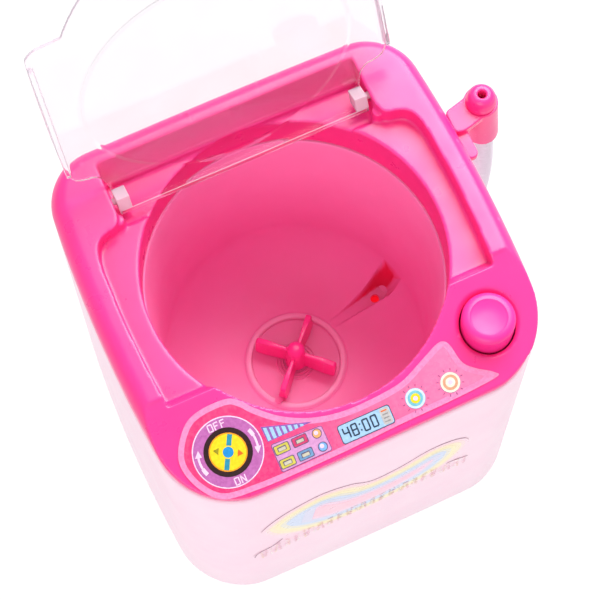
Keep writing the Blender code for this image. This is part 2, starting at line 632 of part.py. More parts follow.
def build_cover():
    rings = ((0.0, COVER_Z), (0.0, 100.6), (0.5, 102.6), (1.4, 104.0), (2.6, 104.9), (4.0, COVER_TOP))
    cover = loft("top_cover", [outline(inset, z) for inset, z in rings], "hot_pink")

    far = 60.0
    above = COVER_TOP + 8.0
    wedge = side_prism("panel_cut",
                       ((-far, panel_z(-far)), (SEAT_FRONT_Y, panel_z(SEAT_FRONT_Y)),
                        (SEAT_FRONT_Y, above), (-far, above)), -far, far)
    cut(wedge, prism("pod_keep", pod_plan(0.0), 80.0, 120.0))
    pod_top = prism("pod_top_cut", pod_plan(0.4), POD_Z, above)

    seat = prism("seat_cut", seat_plan(), SEAT_Z, above)
    ramp_run = (RIDGE_Y - SEAT_FRONT_Y) / (panel_z(RIDGE_Y) - SEAT_Z)
    ramp_top = above + 1.0
    ramp_low = SEAT_Z - 1.0
    cut(seat, side_prism("seat_ramp",
                         ((SEAT_FRONT_Y + ramp_run * (ramp_top - SEAT_Z), ramp_top), (-far, ramp_top),
                          (-far, ramp_low), (SEAT_FRONT_Y - ramp_run, ramp_low)), -far, far))
    rear = side_prism("rear_slope", ((SEAT_REAR_Y - 3.0, SEAT_Z), (SEAT_REAR_Y, SEAT_Z),
                                     (REAR_RIM_Y, COVER_TOP + 0.2), (REAR_RIM_Y, above),
                                     (SEAT_REAR_Y - 3.0, above)), -SHOULDER_X, SHOULDER_X)
    trough = box("hinge_trough", (-SHOULDER_X + 0.2, TROUGH_Y[0], TROUGH_Z),
                 (SHOULDER_X - 0.2, TROUGH_Y[1], above - 6.0))
    cut(cover, wedge, pod_top, seat, rear, trough)

    pocket = loft("pocket", [outline(WALL, z) for z in (COVER_Z - 2.0, SEAT_UNDER)])
    cut(pocket,
        side_prism("panel_keep", ((-far, panel_z(-far, PANEL_T)), (SEAT_FRONT_Y, panel_z(SEAT_FRONT_Y, PANEL_T)),
                                  (SEAT_FRONT_Y, above), (-far, above)), -far, far),
        rod("skirt_keep", (0.0, HOLE_Y), SKIRT_R, 80.0, 120.0, sides=ROUND_LARGE),
        box("trough_keep", (-SHOULDER_X - 1.5, TROUGH_Y[0] - 1.5, TROUGH_Z - 1.6),
            (SHOULDER_X + 1.5, TROUGH_Y[1] + 1.5, 110.0)))
    cut(cover, pocket)
    skirt = rod("hole_skirt", (0.0, HOLE_Y), SKIRT_R, SKIRT_Z, COVER_Z + 2.0, sides=ROUND_LARGE)
    add(cover, skirt)
    for i, (x, y) in enumerate(COVER_SCREWS):
        add(cover, rod(f"cover_boss_{i}", (x, y), 2.5, TUB_TOP + GAP, SEAT_UNDER + 0.7, sides=16))
    add(cover, tube("hook_peg", (HOOK_PEG, (HOOK_PEG[0] + 5.6, *HOOK_PEG[1:])), HOOK_PEG_R, sides=12))
    for side in (-1, 1):
        x, y = KNUCKLE
        add(cover, rod(f"knuckle_{side}", (side * x, y), KNUCKLE_R, SEAT_Z - 1.0, KNUCKLE_TOP, sides=16))
    cut(cover, rod("tub_opening", (0.0, HOLE_Y), HOLE_R, 80.0, 120.0, sides=ROUND_LARGE),
        rod("button_bore", POD, BUTTON_BORE_R, 90.0, 120.0),
        rod("button_counterbore", POD, BUTTON_FLANGE[0] + 0.4, 90.0, SEAT_UNDER))
    for i, (x, y) in enumerate(COVER_SCREWS):
        cut(cover, rod(f"cover_bore_{i}", (x, y), 1.15, 85.0, 96.5, sides=12))
    for side in (-1, 1):
        cut(cover, tube(f"pin_hole_{side}", ((side * (SHOULDER_X - 1.0), HINGE_Y, HINGE_Z),
                                             (side * (LID_PIN_END + 0.5), HINGE_Y, HINGE_Z)),
                        LID_PIN_R + 0.3, sides=16))
    smooth(cover)
    for i, (x, y) in enumerate(COVER_SCREWS):
        smooth(screw(f"cover_screw_{i + 1}", x, y, TUB_FLANGE_Z - 1.6, 1.3, 95.5))


def build_label():
    """Printed label lying on the sloping panel."""
    plan = ((-42.2, -29.6), (-41.0, -26.5), (-38.4, -24.3), (-34.0, -23.0), (-29.5, -22.6), (-25.4, -24.0),
            (-24.6, -28.0), (-18.0, -33.4), (-9.0, -37.2), (0.0, -38.4), (9.0, -37.4), (17.0, -33.9),
            (22.0, -30.6), (24.0, -31.0), (24.4, -33.6), (25.8, -38.0), (28.6, -41.2), (31.2, -43.2),
            (30.4, -44.4), (0.0, -44.7), (-30.0, -44.2), (-36.6, -42.4), (-40.4, -38.0), (-42.2, -33.6))
    lift = 0.06
    rings = [[(x, y, panel_z(y) + lift + t) for x, y in plan] for t in (0.0, 0.25)]
    smooth(loft("control_label", rings, "label"))


# ---------------------------------------------------------------- button
def build_button():
    x, y = POD
    flange_r, flange_low, flange_high = BUTTON_FLANGE
    dish = 0.9
    profile = ((5.0, flange_low), (flange_r, flange_low), (flange_r, flange_high), (BUTTON_R, flange_high),
               (BUTTON_R, BUTTON_TOP - 1.2), (BUTTON_R - 0.5, BUTTON_TOP - 0.3), (BUTTON_R - 1.3, BUTTON_TOP),
               (4.0, BUTTON_TOP - dish * 0.6), (0.6, BUTTON_TOP - dish), (0.6, 103.4), (5.0, 103.4))
    cap = lathe("push_button", profile, (x, y, 0.0), "hot_pink")
    add(cap, rod("cap_plug", POD, 1.2, 103.6, BUTTON_TOP - dish - 0.1))
    smooth(cap)
    set_origin(cap, (x, y, POD_Z))

    low, high = SWITCH_Z
    case = box("switch_case", (x - 5.0, y - 3.6, low), (x + 5.0, y + 3.6, high), "black")
    cut(case, rod("switch_bore", POD, 1.7, low + 0.8, high + 2.0, sides=16))
    plunger = rod("switch_plunger", POD, 1.4, high - 2.0, 103.1, "white", sides=16)
    smooth(plunger)
    set_origin(plunger, (x, y, high))
    turns = 5
    steps = turns * 8
    z0 = high + 0.65
    z1 = 103.4 - 0.65
    path = []
    for i in range(steps + 1):
        t = i / steps
        a = 2 * pi * turns * t
        path.append((x + 3.4 * cos(a), y + 3.4 * sin(a), z0 + (z1 - z0) * t))
    smooth(tube("button_spring", path, 0.35, "steel", sides=5))


# ---------------------------------------------------------------- lid
def lid_plan():
    """Closed-lid plan: a tongue over the tub in front, notched corners at the hinge."""
    w = LID_HALF_W
    right = [(0.0, HOLE_Y - LID_TONGUE_R)]
    steps = 10
    end = 58.0
    for i in range(1, steps + 1):
        a = radians(-90.0 + end * i / steps)
        right.append((LID_TONGUE_R * cos(a), HOLE_Y + LID_TONGUE_R * sin(a)))
    right += [(w - 3.0, LID_FRONT_Y - 0.9), (w - 0.9, LID_FRONT_Y + 0.3), (w, LID_FRONT_Y + 3.0),
              (w + 0.2, 2.0), (w, 14.0), (w - 0.4, 19.2), (w - 2.0, 22.0), (w - 4.4, 22.9),
              (w - 6.4, 23.3), (w - 8.0, 25.0), (LID_TAB_HALF_W, 27.6), (LID_TAB_HALF_W, 28.6)]
    left = [(-x, y) for x, y in reversed(right[1:])]
    return right + left


def build_lid():
    plate = prism("lid", lid_plan(), LID_TOP - LID_T, LID_TOP, "clear")
    for side in (-1, 1):
        x0, x1 = sorted((side * (LID_HALF_W - 0.05), side * (LID_HALF_W - 1.15)))
        add(plate, box(f"lid_skirt_{side}", (x0, LID_FRONT_Y + 3.0, LID_SKIRT_Z),
                       (x1, LID_SKIRT_END_Y, LID_TOP - 0.4)))
    bend = ((28.0, LID_TOP - 0.01), (30.0, LID_TOP - 0.15), (32.2, 104.6), (33.6, 102.9), (34.1, 100.8),
            (33.0, 100.7), (32.5, 102.4), (31.4, 103.7), (29.8, 104.3), (28.0, LID_TOP - LID_T + 0.01))
    add(plate, side_prism("lid_bend", bend, -LID_TAB_HALF_W + 0.02, LID_TAB_HALF_W - 0.02))
    b = HINGE_BLOCK
    for side in (-1, 1):
        x0, x1 = sorted((side * (LID_TAB_HALF_W - 3.2), side * (LID_TAB_HALF_W + 0.05)))
        add(plate, box(f"hinge_block_{side}", (x0, HINGE_Y - b, HINGE_Z - b), (x1, HINGE_Y + b, HINGE_Z + b)))
        add(plate, tube(f"hinge_pin_{side}", ((side * (LID_TAB_HALF_W - 1.0), HINGE_Y, HINGE_Z),
                                              (side * LID_PIN_END, HINGE_Y, HINGE_Z)), LID_PIN_R, sides=16))
    smooth(plate, 25.0)
    pivot = Vector((0.0, HINGE_Y, HINGE_Z)) * MM
    open_turn = Matrix.Translation(pivot) @ Matrix.Rotation(-radians(90.0 + LID_LEAN), 4, "X") \
        @ Matrix.Translation(-pivot)
    parts = [plate] + [m.object for m in plate.modifiers]
    for obj in parts:
        obj.data.transform(open_turn)
    set_origin(plate, (0.0, HINGE_Y, HINGE_Z))


# ---------------------------------------------------------------- drain
def spigot_route():
    """Centreline of the swivelling outlet elbow: out of the wall, then straight up."""
    bend = SPIGOT_TOP[0] - SPIGOT_BEND_R
    route = [(SPIGOT_X, OUTLET_Y, OUTLET_Z)]
    steps = 5
    for i in range(steps + 1):
        a = pi / 2 * i / steps
        route.append((bend + SPIGOT_BEND_R * sin(a), OUTLET_Y, OUTLET_Z + SPIGOT_BEND_R * (1 - cos(a))))
    return route + [SPIGOT_TOP]


def build_drain():
    x, y = DRAIN
    route = [(x, y, FLOOR_UNDER - GAP), (x, y, 15.0), (x + 0.6, y + 0.3, 12.4), (x + 2.4, y + 1.2, 10.6),
             (x + 5.0, y + 3.0, OUTLET_Z), (38.0, 15.4, OUTLET_Z), (41.5, 18.2, OUTLET_Z),
             (44.5, OUTLET_Y, OUTLET_Z), (47.0, OUTLET_Y, OUTLET_Z),
             (SPIGOT_X - GAP, OUTLET_Y, OUTLET_Z)]
    smooth(tube("drain_elbow", route, [PIPE_R + 1.0, PIPE_R] + [PIPE_R] * 8, "hot_pink"))

    spigot = tube("outlet_spigot", spigot_route(), HOSE_R - 0.1, "hot_pink", sides=20)
    add(spigot, rod("spigot_collar", SPIGOT_TOP[:2], HOSE_R + 0.7, SPIGOT_TOP[2] - 1.6, SPIGOT_TOP[2],
                    sides=20),
        tube("spigot_flange", ((SPIGOT_X, OUTLET_Y, OUTLET_Z), (SPIGOT_X + 1.2, OUTLET_Y, OUTLET_Z)),
             HOSE_R + 1.3, sides=24))
    smooth(spigot)
    set_origin(spigot, (SPIGOT_X, OUTLET_Y, OUTLET_Z))

    hose = tube("drain_hose", HOSE_ROUTE, HOSE_R, "hose")
    smooth(hose)
    set_origin(hose, (SPIGOT_X, OUTLET_Y, OUTLET_Z))
    clamp_low = SPIGOT_TOP[2] + GAP + 0.8
    clamp = lathe("hose_clamp", ((HOSE_R + 0.15, clamp_low), (HOSE_R + 0.9, clamp_low),
                                 (HOSE_R + 0.9, clamp_low + 2.2), (HOSE_R + 0.15, clamp_low + 2.2)),
                  (*SPIGOT_TOP[:2], 0.0), "white", sides=24)
    smooth(clamp)

    nozzle = tube("drain_nozzle", (NOZZLE_FOOT, NOZZLE_TOP), NOZZLE_R, "hot_pink", sides=28,
                  turn=Matrix.Identity(3))
    arm = ((48.9, 20.6), (54.4, 22.0), (58.0, 23.4), (60.0, 16.5), (55.6, 15.2), (51.4, 14.2), (48.9, 14.6))
    add(nozzle, prism("nozzle_arm", arm, 97.2, NOZZLE_TOP[2] - 0.05),
        box("nozzle_drop", (49.1, 13.0, 96.0), (52.2, 16.0, 97.6)),
        prism("nozzle_finger", ((49.1, 15.5), (49.1, 8.6), (49.8, 7.6), (51.4, 7.6), (52.1, 8.6), (52.1, 15.5)),
              96.05, 97.9))
    axis = Vector(NOZZLE_TOP) - Vector(NOZZLE_FOOT)
    foot = Vector(NOZZLE_FOOT)
    cut(nozzle, tube("hose_socket", (foot - axis * 0.1, foot + axis * 0.75), NOZZLE_BORE_R, sides=24),
        tube("nozzle_bore", (foot + axis * 0.5, foot + axis * 1.2), 1.3, sides=16))
    smooth(nozzle)

    seat_x, seat_y, seat_z = NOZZLE_TOP
    z = seat_z + 0.1
    tip = lathe("nozzle_tip", ((1.35, z), (3.75, z), (3.6, z + 1.6), (3.2, z + 3.0), (2.5, z + 3.9),
                               (1.35, z + 4.2)), (seat_x, seat_y, 0.0), "hot_pink", sides=28)
    smooth(tip)


# ---------------------------------------------------------------- wiring
def build_wires():
    mx, my = motor_axis()
    lay_z = PLATE_T + 1.3
    under_flange = TUB_FLANGE_Z - 0.7
    runs = (
        ("wire_cell_to_switch", "red",
         ((32.6, -34.0, 6.0), (33.4, -32.5, 9.0), (34.0, -31.0, 16.0), (34.0, -31.0, 50.0),
          (34.0, -31.0, 80.0), (34.0, -31.0, under_flange))),
        ("wire_switch_to_motor", "red",
         ((mx + 15.0, my - 6.0, lay_z), (mx + 15.4, my - 11.0, lay_z), (24.0, -5.4, lay_z),
          (33.4, -8.0, lay_z), (37.0, -18.0, 5.0), (37.0, -26.0, 12.0), (36.8, -28.0, 24.0),
          (36.8, -28.0, 60.0), (36.8, -28.0, under_flange))),
        ("wire_motor_return", "black",
         ((mx - 15.0, my - 4.0, lay_z), (-29.0, 0.0, lay_z), (-32.4, -8.0, lay_z), (-33.0, -18.0, 4.6))),
    )
    for name, color, path in runs:
        smooth(tube(name, path, WIRE_R, color, sides=8))


build_housing()
build_base()
build_drive()
build_tub()
build_pulsator()
build_cover()
build_label()
build_button()
build_lid()
build_drain()
build_wires()
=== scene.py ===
"""Looks of a toy top-loading washing machine that cleans make-up brushes.

Lengths are in millimetres and are scaled to metres when a mesh is made.
X is right, Y is back, Z is up. The origin is the middle of the flat underside.
"""

import json
from math import cos, hypot, pi, radians, sin, tan

import bmesh
import bpy
from mathutils import Matrix, Vector

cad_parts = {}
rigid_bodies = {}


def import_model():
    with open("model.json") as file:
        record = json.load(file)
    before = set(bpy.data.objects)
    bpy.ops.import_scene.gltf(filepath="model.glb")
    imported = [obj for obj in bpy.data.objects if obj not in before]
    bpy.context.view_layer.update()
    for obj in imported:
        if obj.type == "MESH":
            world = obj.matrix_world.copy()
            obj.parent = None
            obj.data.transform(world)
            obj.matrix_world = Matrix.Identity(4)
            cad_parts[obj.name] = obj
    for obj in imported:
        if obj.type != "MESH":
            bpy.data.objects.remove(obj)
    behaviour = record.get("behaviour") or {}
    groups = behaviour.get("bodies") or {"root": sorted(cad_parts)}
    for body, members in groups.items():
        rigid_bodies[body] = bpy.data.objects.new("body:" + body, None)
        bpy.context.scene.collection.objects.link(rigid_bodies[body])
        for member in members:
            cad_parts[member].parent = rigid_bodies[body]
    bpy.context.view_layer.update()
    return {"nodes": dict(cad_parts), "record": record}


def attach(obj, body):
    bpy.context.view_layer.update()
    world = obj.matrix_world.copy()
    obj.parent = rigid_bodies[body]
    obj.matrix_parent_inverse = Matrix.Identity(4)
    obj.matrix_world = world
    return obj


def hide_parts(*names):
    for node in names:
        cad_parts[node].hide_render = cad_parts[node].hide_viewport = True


for stale in list(bpy.data.objects):
    bpy.data.objects.remove(stale)

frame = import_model()
NODES = frame["nodes"]
SLOT_OF = {row["node"]: row["material_slot"] for row in frame["record"]["subparts"]}

MM = 0.001

# ---- housing ----
HALF_W = 48.9
HALF_D = 46.4
FRONT_RADIUS = 17.0
REAR_RADIUS = 12.5
SIDE_BULGE = 0.060
END_BULGE = 0.012
CORNER_STEPS = 22
SIDE_STEPS = 14
WALL = 2.0
SEAM_Z = 93.0

# ---- top cover ----
COVER_Z = 93.3
COVER_EDGE_Z = 100.6
COVER_TOP = 105.2
RIM_INSET = 4.0
SEAT_Z = 100.0
SEAT_UNDER = 98.0
HOLE_R = 36.3
HOLE_Y = 0.6
SKIRT_R = 38.2
SKIRT_Z = 88.0
SEAT_HALF_W = 41.9
SEAT_FRONT_Y = -18.5
RIDGE_Y = -20.8
SHOULDER_Y = 23.8
SHOULDER_X = 33.2
SEAT_REAR_Y = 37.4
REAR_RIM_Y = 41.2
TROUGH_Z = 98.7
TROUGH_Y = (25.5, 36.5)
PANEL_Y = -44.5
PANEL_Z = 96.0
PANEL_SLOPE = radians(19.0)
PANEL_T = 2.0
POD = (34.5, -31.8)
BUTTON_BORE_R = 6.65
BORE_LIP = ((6.65, -1.3), (6.9, -0.7), (7.7, 0.1), (8.0, 0.6))
KNUCKLE = (33.7, 26.2)
KNUCKLE_R = 1.5
KNUCKLE_TOP = 103.4
HOOK_PEG = (46.0, 10.4, 94.7)
HOOK_PEG_R = 1.1
RIM_SIDES = 200
BOSS_R = 2.5
PILOT_R = 1.15
PILOT_Z = (85.0, 96.5)
SCREW_HOLE_R = 1.25
FLANGE_OPENING_R = 36.62
THROUGH = (80.0, 120.0)  # heights well below and above the cover, for cutters
COVER_SCREWS = ((-33.0, -33.0), (-34.0, 35.0), (34.0, 35.0), (42.4, -4.0))

# ---- lid ----
HINGE = Vector((0.0, 31.0, 103.0))
LID_LEAN = 24.0
LID_TOP = 105.6
LID_T = 1.0
LID_HALF_W = 41.2
LID_FRONT_Y = -17.9
LID_TONGUE_R = 37.5
LID_SKIRT_Z = 102.7
LID_SKIRT_END_Y = 18.4
LIP_Y = 27.0
LIP_EDGE_Z = 101.1
LID_TAB_HALF_W = 32.3
LID_PIN_R = 0.9
LID_PIN_END = 34.6
HINGE_BLOCK = 2.1
OVAL_CENTER_Y = 6.5
OVAL_HALF = (33.7, 26.0)
OVAL_STEP = 0.2

# ---- tub and pulsator ----
TUB_TOP = 87.7
FLOOR_Z = 22.4
FLOOR_UNDER = 20.7
BOWL_START_R = 14.4
BOWL_R = 34.0
TUB_MOUTH_R = 35.9
BOWL_RISE = 14.6
TUB_OUTSIDE = 10
DRAIN = Vector((26.9, 8.0))
DRAIN_R = 1.2
# depth down the drain channel at which the painted shade on its far wall is full
CHANNEL_SHADE_DEPTH = 2.2
RING_R = (11.8, 13.6)
RING_TOP = 23.7
RING_GATE = (-8.8, -7.7)
BLADE_ANGLE = 47.0
BLADE_R = 11.2
BLADE_SECTIONS = (
    # radius, foot and crest heights, then half-thickness at the foot and at the crest
    (1.9, 23.4, 31.0, 0.85, 0.45),
    (4.0, 23.4, 31.0, 0.90, 0.48),
    (6.6, 23.4, 31.0, 1.10, 0.62),
    (8.0, 23.4, 30.9, 1.20, 0.72),
    (10.8, 23.6, 30.4, 1.25, 0.78),
    (BLADE_R, 24.2, 29.8, 1.10, 0.62),
)
BLADE_Z = (23.2, 30.6)
HUB_TOP = 34.2

# ---- button ----
BUTTON_R = 6.35
BUTTON_TOP = 104.4
BUTTON_CEILING = 103.4
BUTTON_DISH = 0.6
DISH_CURVE = ((4.4, 0.06), (3.9, 0.26), (3.3, 0.52), (2.6, 0.76),
              (1.8, 0.92), (1.0, 0.99), (0.3, 1.0))  # radius, share of the dish's depth
BUTTON_FOOT = 96.2
BUTTON_BORE = 5.0

# ---- drain ----
OUTLET_Y = 19.0
OUTLET_Z = 10.0
PIPE_R = 2.5
SPIGOT_X = 49.2
SPIGOT_BEND_R = 5.0
SPIGOT_TOP = (59.6, 19.0, 18.6)
HOSE_R = 3.0
HOSE_ROUTE = ((59.6, 19.0, 18.9), (59.65, 19.0, 23.0), (60.0, 19.0, 30.0), (60.6, 18.95, 38.0),
              (61.0, 18.9, 46.0), (61.1, 18.8, 54.0), (60.9, 18.8, 62.0), (60.4, 18.8, 70.0),
              (59.8, 18.8, 77.0), (59.3, 18.9, 83.0), (58.8, 19.1, 90.0))
HOSE_PITCH = 1.5
HOSE_GROOVE = 0.32
NOZZLE_TOP = (58.0, 19.5, 99.6)
NOZZLE_FOOT = (59.3, 18.9, 83.0)
NOZZLE_R = 4.2
NOZZLE_BORE_R = 3.4
TIP_HOLE_R = 1.05


# ---------------------------------------------------------------- colours and materials
def linear(rgb):
    """Linear RGBA from display RGB numbers of 0 to 255."""
    out = []
    for value in rgb:
        v = value / 255.0
        out.append(v / 12.92 if v <= 0.04045 else ((v + 0.055) / 1.055) ** 2.4)
    return (*out, 1.0)


def node(tree, kind, **settings):
    """Add a shader node and set its named properties."""
    made = tree.nodes.new(kind)
    for key, value in settings.items():
        setattr(made, key, value)
    return made


def noise(tree, where, scale, detail=3.0, stretch=None):
    """Noise texture in object space; stretch scales the axes first. Returns its value."""
    if stretch:
        mapping = node(tree, "ShaderNodeMapping")
        mapping.inputs["Scale"].default_value = stretch
        tree.links.new(where, mapping.inputs["Vector"])
        where = mapping.outputs["Vector"]
    tex = node(tree, "ShaderNodeTexNoise")
    tex.inputs["Scale"].default_value = scale
    tex.inputs["Detail"].default_value = detail
    tree.links.new(where, tex.inputs["Vector"])
    return tex.outputs["Fac"]


def spread(tree, value, low, high, out_low, out_high):
    """Map a value from one range to another, clamped."""
    ranged = node(tree, "ShaderNodeMapRange")
    for name, number in (("From Min", low), ("From Max", high),
                         ("To Min", out_low), ("To Max", out_high)):
        ranged.inputs[name].default_value = number
    tree.links.new(value, ranged.inputs["Value"])
    return ranged.outputs["Result"]


def blend_color(tree, factor, first, second):
    """Mix two colours; each is an RGBA tuple or a socket."""
    mix = node(tree, "ShaderNodeMix", data_type="RGBA")
    tree.links.new(factor, mix.inputs["Factor"])
    for name, value in (("A", first), ("B", second)):
        socket = [s for s in mix.inputs if s.name == name and s.type == "RGBA"][0]
        if isinstance(value, tuple):
            socket.default_value = value
        else:
            tree.links.new(value, socket)
    return [s for s in mix.outputs if s.type == "RGBA"][0]


def start_material(name):
    """A new material: its node tree, Principled shader and object coordinates."""
    made = bpy.data.materials.new(name)
    made.use_nodes = True
    tree = made.node_tree
    shader = tree.nodes["Principled BSDF"]
    where = node(tree, "ShaderNodeTexCoord").outputs["Object"]
    return made, tree, shader, where


def finish_bump(tree, shader, height, strength, distance):
    """Feed a height through a bump node into the shader's normal."""
    bump = node(tree, "ShaderNodeBump")
    bump.inputs["Strength"].default_value = strength
    bump.inputs["Distance"].default_value = distance
    tree.links.new(height, bump.inputs["Height"])
    tree.links.new(bump.outputs["Normal"], shader.inputs["Normal"])


def plastic(name, main, shade, rough=(0.22, 0.34), bump=0.12, coat=0.0, glow=0.0, scuffs=0.12,
            edge_highlight=None):
    """Injection-moulded plastic: cloudy tint, faint hairline scuffs, an uneven gloss and, when given, a
    painted highlight that lightens sharp edges.
    """
    made, tree, shader, where = start_material(name)
    cloud = spread(tree, noise(tree, where, 38.0, 4.0), 0.35, 0.68, 0.0, 1.0)
    color = blend_color(tree, cloud, linear(main), linear(shade))
    hairs = noise(tree, where, 1.0, 1.0, stretch=(2600.0, 160.0, 160.0))
    marks = spread(tree, hairs, 0.66, 0.78, 0.0, scuffs)
    color = blend_color(tree, marks, color, linear(tuple(min(255, c + 22) for c in main)))
    # painted highlight: sharp edges, found by pointiness, are blended toward a lighter pink
    if edge_highlight:
        edges = node(tree, "ShaderNodeNewGeometry").outputs["Pointiness"]
        edge_highlight_mask = spread(tree, edges, 0.52, 0.60, 0.0, 0.45)
        color = blend_color(tree, edge_highlight_mask, color, linear(edge_highlight))
    tree.links.new(color, shader.inputs["Base Color"])
    gloss = spread(tree, noise(tree, where, 160.0, 5.0), 0.3, 0.7, *rough)
    tree.links.new(gloss, shader.inputs["Roughness"])
    shader.inputs["IOR"].default_value = 1.49
    shader.inputs["Coat Weight"].default_value = coat
    shader.inputs["Coat Roughness"].default_value = 0.12
    shader.inputs["Subsurface Weight"].default_value = glow
    shader.inputs["Subsurface Radius"].default_value = (1.0, 0.45, 0.5)
    shader.inputs["Subsurface Scale"].default_value = 0.0015
    finish_bump(tree, shader, noise(tree, where, 700.0, 4.0), bump, 0.00004)
    return made


def tint_by(material, stored_name, rgb):
    """Blend a material's colour toward another one by a value stored on the mesh."""
    tree = material.node_tree
    socket = tree.nodes["Principled BSDF"].inputs["Base Color"]
    plain = socket.links[0].from_socket
    stored = node(tree, "ShaderNodeAttribute", attribute_name=stored_name)
    tree.links.new(blend_color(tree, stored.outputs["Fac"], plain, linear(rgb)), socket)


def metal(name, main, shade, rough=(0.22, 0.40)):
    """Brushed or plated metal with fine turned lines and dulled patches."""
    made, tree, shader, where = start_material(name)
    patches = spread(tree, noise(tree, where, 320.0, 5.0), 0.35, 0.7, 0.0, 1.0)
    tree.links.new(blend_color(tree, patches, linear(main), linear(shade)), shader.inputs["Base Color"])
    lines = noise(tree, where, 1.0, 3.0, stretch=(400.0, 400.0, 5200.0))
    tree.links.new(spread(tree, lines, 0.3, 0.7, *rough), shader.inputs["Roughness"])
    shader.inputs["Metallic"].default_value = 1.0
    finish_bump(tree, shader, lines, 0.15, 0.00003)
    return made


def ink(name, main, shade=None, rough=(0.25, 0.36)):
    """Printed film: a flat ink with a faint screen grain under a semi-gloss laminate."""
    made, tree, shader, where = start_material(name)
    shade = shade or tuple(max(0, c - 14) for c in main)
    grain = spread(tree, noise(tree, where, 1400.0, 2.0), 0.35, 0.65, 0.0, 1.0)
    tree.links.new(blend_color(tree, grain, linear(main), linear(shade)), shader.inputs["Base Color"])
    gloss = spread(tree, noise(tree, where, 180.0, 4.0), 0.3, 0.7, *rough)
    tree.links.new(gloss, shader.inputs["Roughness"])
    finish_bump(tree, shader, noise(tree, where, 500.0, 3.0), 0.06, 0.00004)
    return made


def ramp_ink(name, left, right, x_left, x_right):
    """Printed film whose ink runs from one colour to another across the object; on the label its lighter
    right end is a painted reflection.
    """
    made, tree, shader, where = start_material(name)
    split = node(tree, "ShaderNodeSeparateXYZ")
    tree.links.new(where, split.inputs["Vector"])
    along = spread(tree, split.outputs["X"], x_left * MM, x_right * MM, 0.0, 1.0)
    color = blend_color(tree, along, linear(left), linear(right))
    grain = spread(tree, noise(tree, where, 900.0, 2.0), 0.4, 0.7, 0.0, 0.05)
    color = blend_color(tree, grain, color, linear((255, 225, 240)))
    tree.links.new(color, shader.inputs["Base Color"])
    gloss = spread(tree, noise(tree, where, 180.0, 4.0), 0.3, 0.7, 0.22, 0.34)
    tree.links.new(gloss, shader.inputs["Roughness"])
    finish_bump(tree, shader, noise(tree, where, 500.0, 3.0), 0.06, 0.00004)
    return made


def clear(name, tint, rough=(0.02, 0.10), transmission=1.0, bump=0.05, ior=1.46):
    """Clear moulded plastic with a little haze, smudges and hairline scratches."""
    made, tree, shader, where = start_material(name)
    shader.inputs["Transmission Weight"].default_value = transmission
    shader.inputs["IOR"].default_value = ior
    haze = spread(tree, noise(tree, where, 38.0, 5.0), 0.42, 0.75, 0.0, 1.0)
    soft = tuple(max(0, c - 7) for c in tint)
    tree.links.new(blend_color(tree, haze, linear(tint), linear(soft)), shader.inputs["Base Color"])
    scratch = noise(tree, where, 1.0, 2.0, stretch=(900.0, 90.0, 60.0))
    low, high = rough
    gloss = spread(tree, scratch, 0.62, 0.70, low, high)
    tree.links.new(gloss, shader.inputs["Roughness"])
    finish_bump(tree, shader, noise(tree, where, 220.0, 3.0), bump, 0.00004)
    return made


MATS = {
    "pale": plastic("pale_pink_shell", (253, 219, 234), (251, 213, 230), (0.30, 0.42), glow=0.10),
    # the lighter pink given to the deck and pulsator is a painted edge highlight
    "deck": plastic("hot_pink_shell", (250, 52, 142), (248, 48, 136), (0.26, 0.38), coat=0.10,
                    edge_highlight=(255, 110, 178)),
    "tub": plastic("tub_pink", (252, 144, 200), (251, 138, 195), (0.42, 0.55)),
    "ring": plastic("ring_pink", (255, 186, 222), (254, 178, 216), (0.36, 0.48)),
    "rotor": plastic("pulsator_pink", (255, 62, 160), (252, 56, 154), (0.26, 0.38), coat=0.1,
                     edge_highlight=(255, 110, 178)),
    "glow_red": plastic("painted_glow_pink", (230, 24, 60), (220, 20, 52), (0.35, 0.45)),
    "cap": plastic("button_pink", (247, 46, 148), (245, 42, 142), (0.32, 0.42)),
    "white": plastic("white_moulding", (232, 230, 222), (222, 219, 210), (0.38, 0.52)),
    "black": plastic("black_moulding", (26, 26, 29), (36, 36, 39), (0.40, 0.60)),
    "rubber": plastic("seal_rubber", (20, 20, 21), (30, 30, 31), (0.60, 0.80), bump=0.4),
    "cell": plastic("cell_wrap", (28, 78, 44), (20, 66, 36), (0.24, 0.36), scuffs=0.3),
    "red": plastic("red_insulation", (190, 24, 24), (172, 18, 18), (0.35, 0.50)),
    "lead": plastic("black_insulation", (22, 22, 24), (32, 32, 34), (0.35, 0.50)),
    "steel": metal("zinc_steel", (205, 206, 210), (168, 170, 176)),
    "brass": metal("spring_brass", (214, 180, 110), (190, 152, 84)),
    "clear": clear("clear_lid", (251, 247, 251), transmission=0.96),
    "lip": clear("clear_lip", (252, 246, 251), ior=1.14),
    "edge": clear("clear_edge", (246, 232, 244), (0.35, 0.5), 0.45, 0.2),
    "frost": clear("frosted_block", (255, 222, 238), (0.35, 0.6), 0.3, 0.4),
    "hose": clear("translucent_hose", (250, 241, 251), (0.28, 0.46), 0.35, 0.2),
}
# painted glow: the drain pipe's material emits a faint red light, though it is no lamp
glow = MATS["glow_red"].node_tree.nodes["Principled BSDF"]
glow.inputs["Emission Color"].default_value = linear((214, 26, 50))
glow.inputs["Emission Strength"].default_value = 0.4
# painted shade: the tub turns crimson on the drain channel's far wall, which faces away from the key
# light
tint_by(MATS["tub"], "sunk", (236, 36, 88))
SLOT_MATS = {
    "pale_pink_plastic": "pale", "hot_pink_plastic": "deck", "tub_plastic": "tub",
    "clear_plastic": "clear", "hose_plastic": "hose", "white_plastic": "white",
    "black_plastic": "black", "seal_rubber": "rubber", "steel": "steel", "brass": "brass",
    "cell_wrap": "cell", "red_wire": "red", "black_wire": "lead",
}


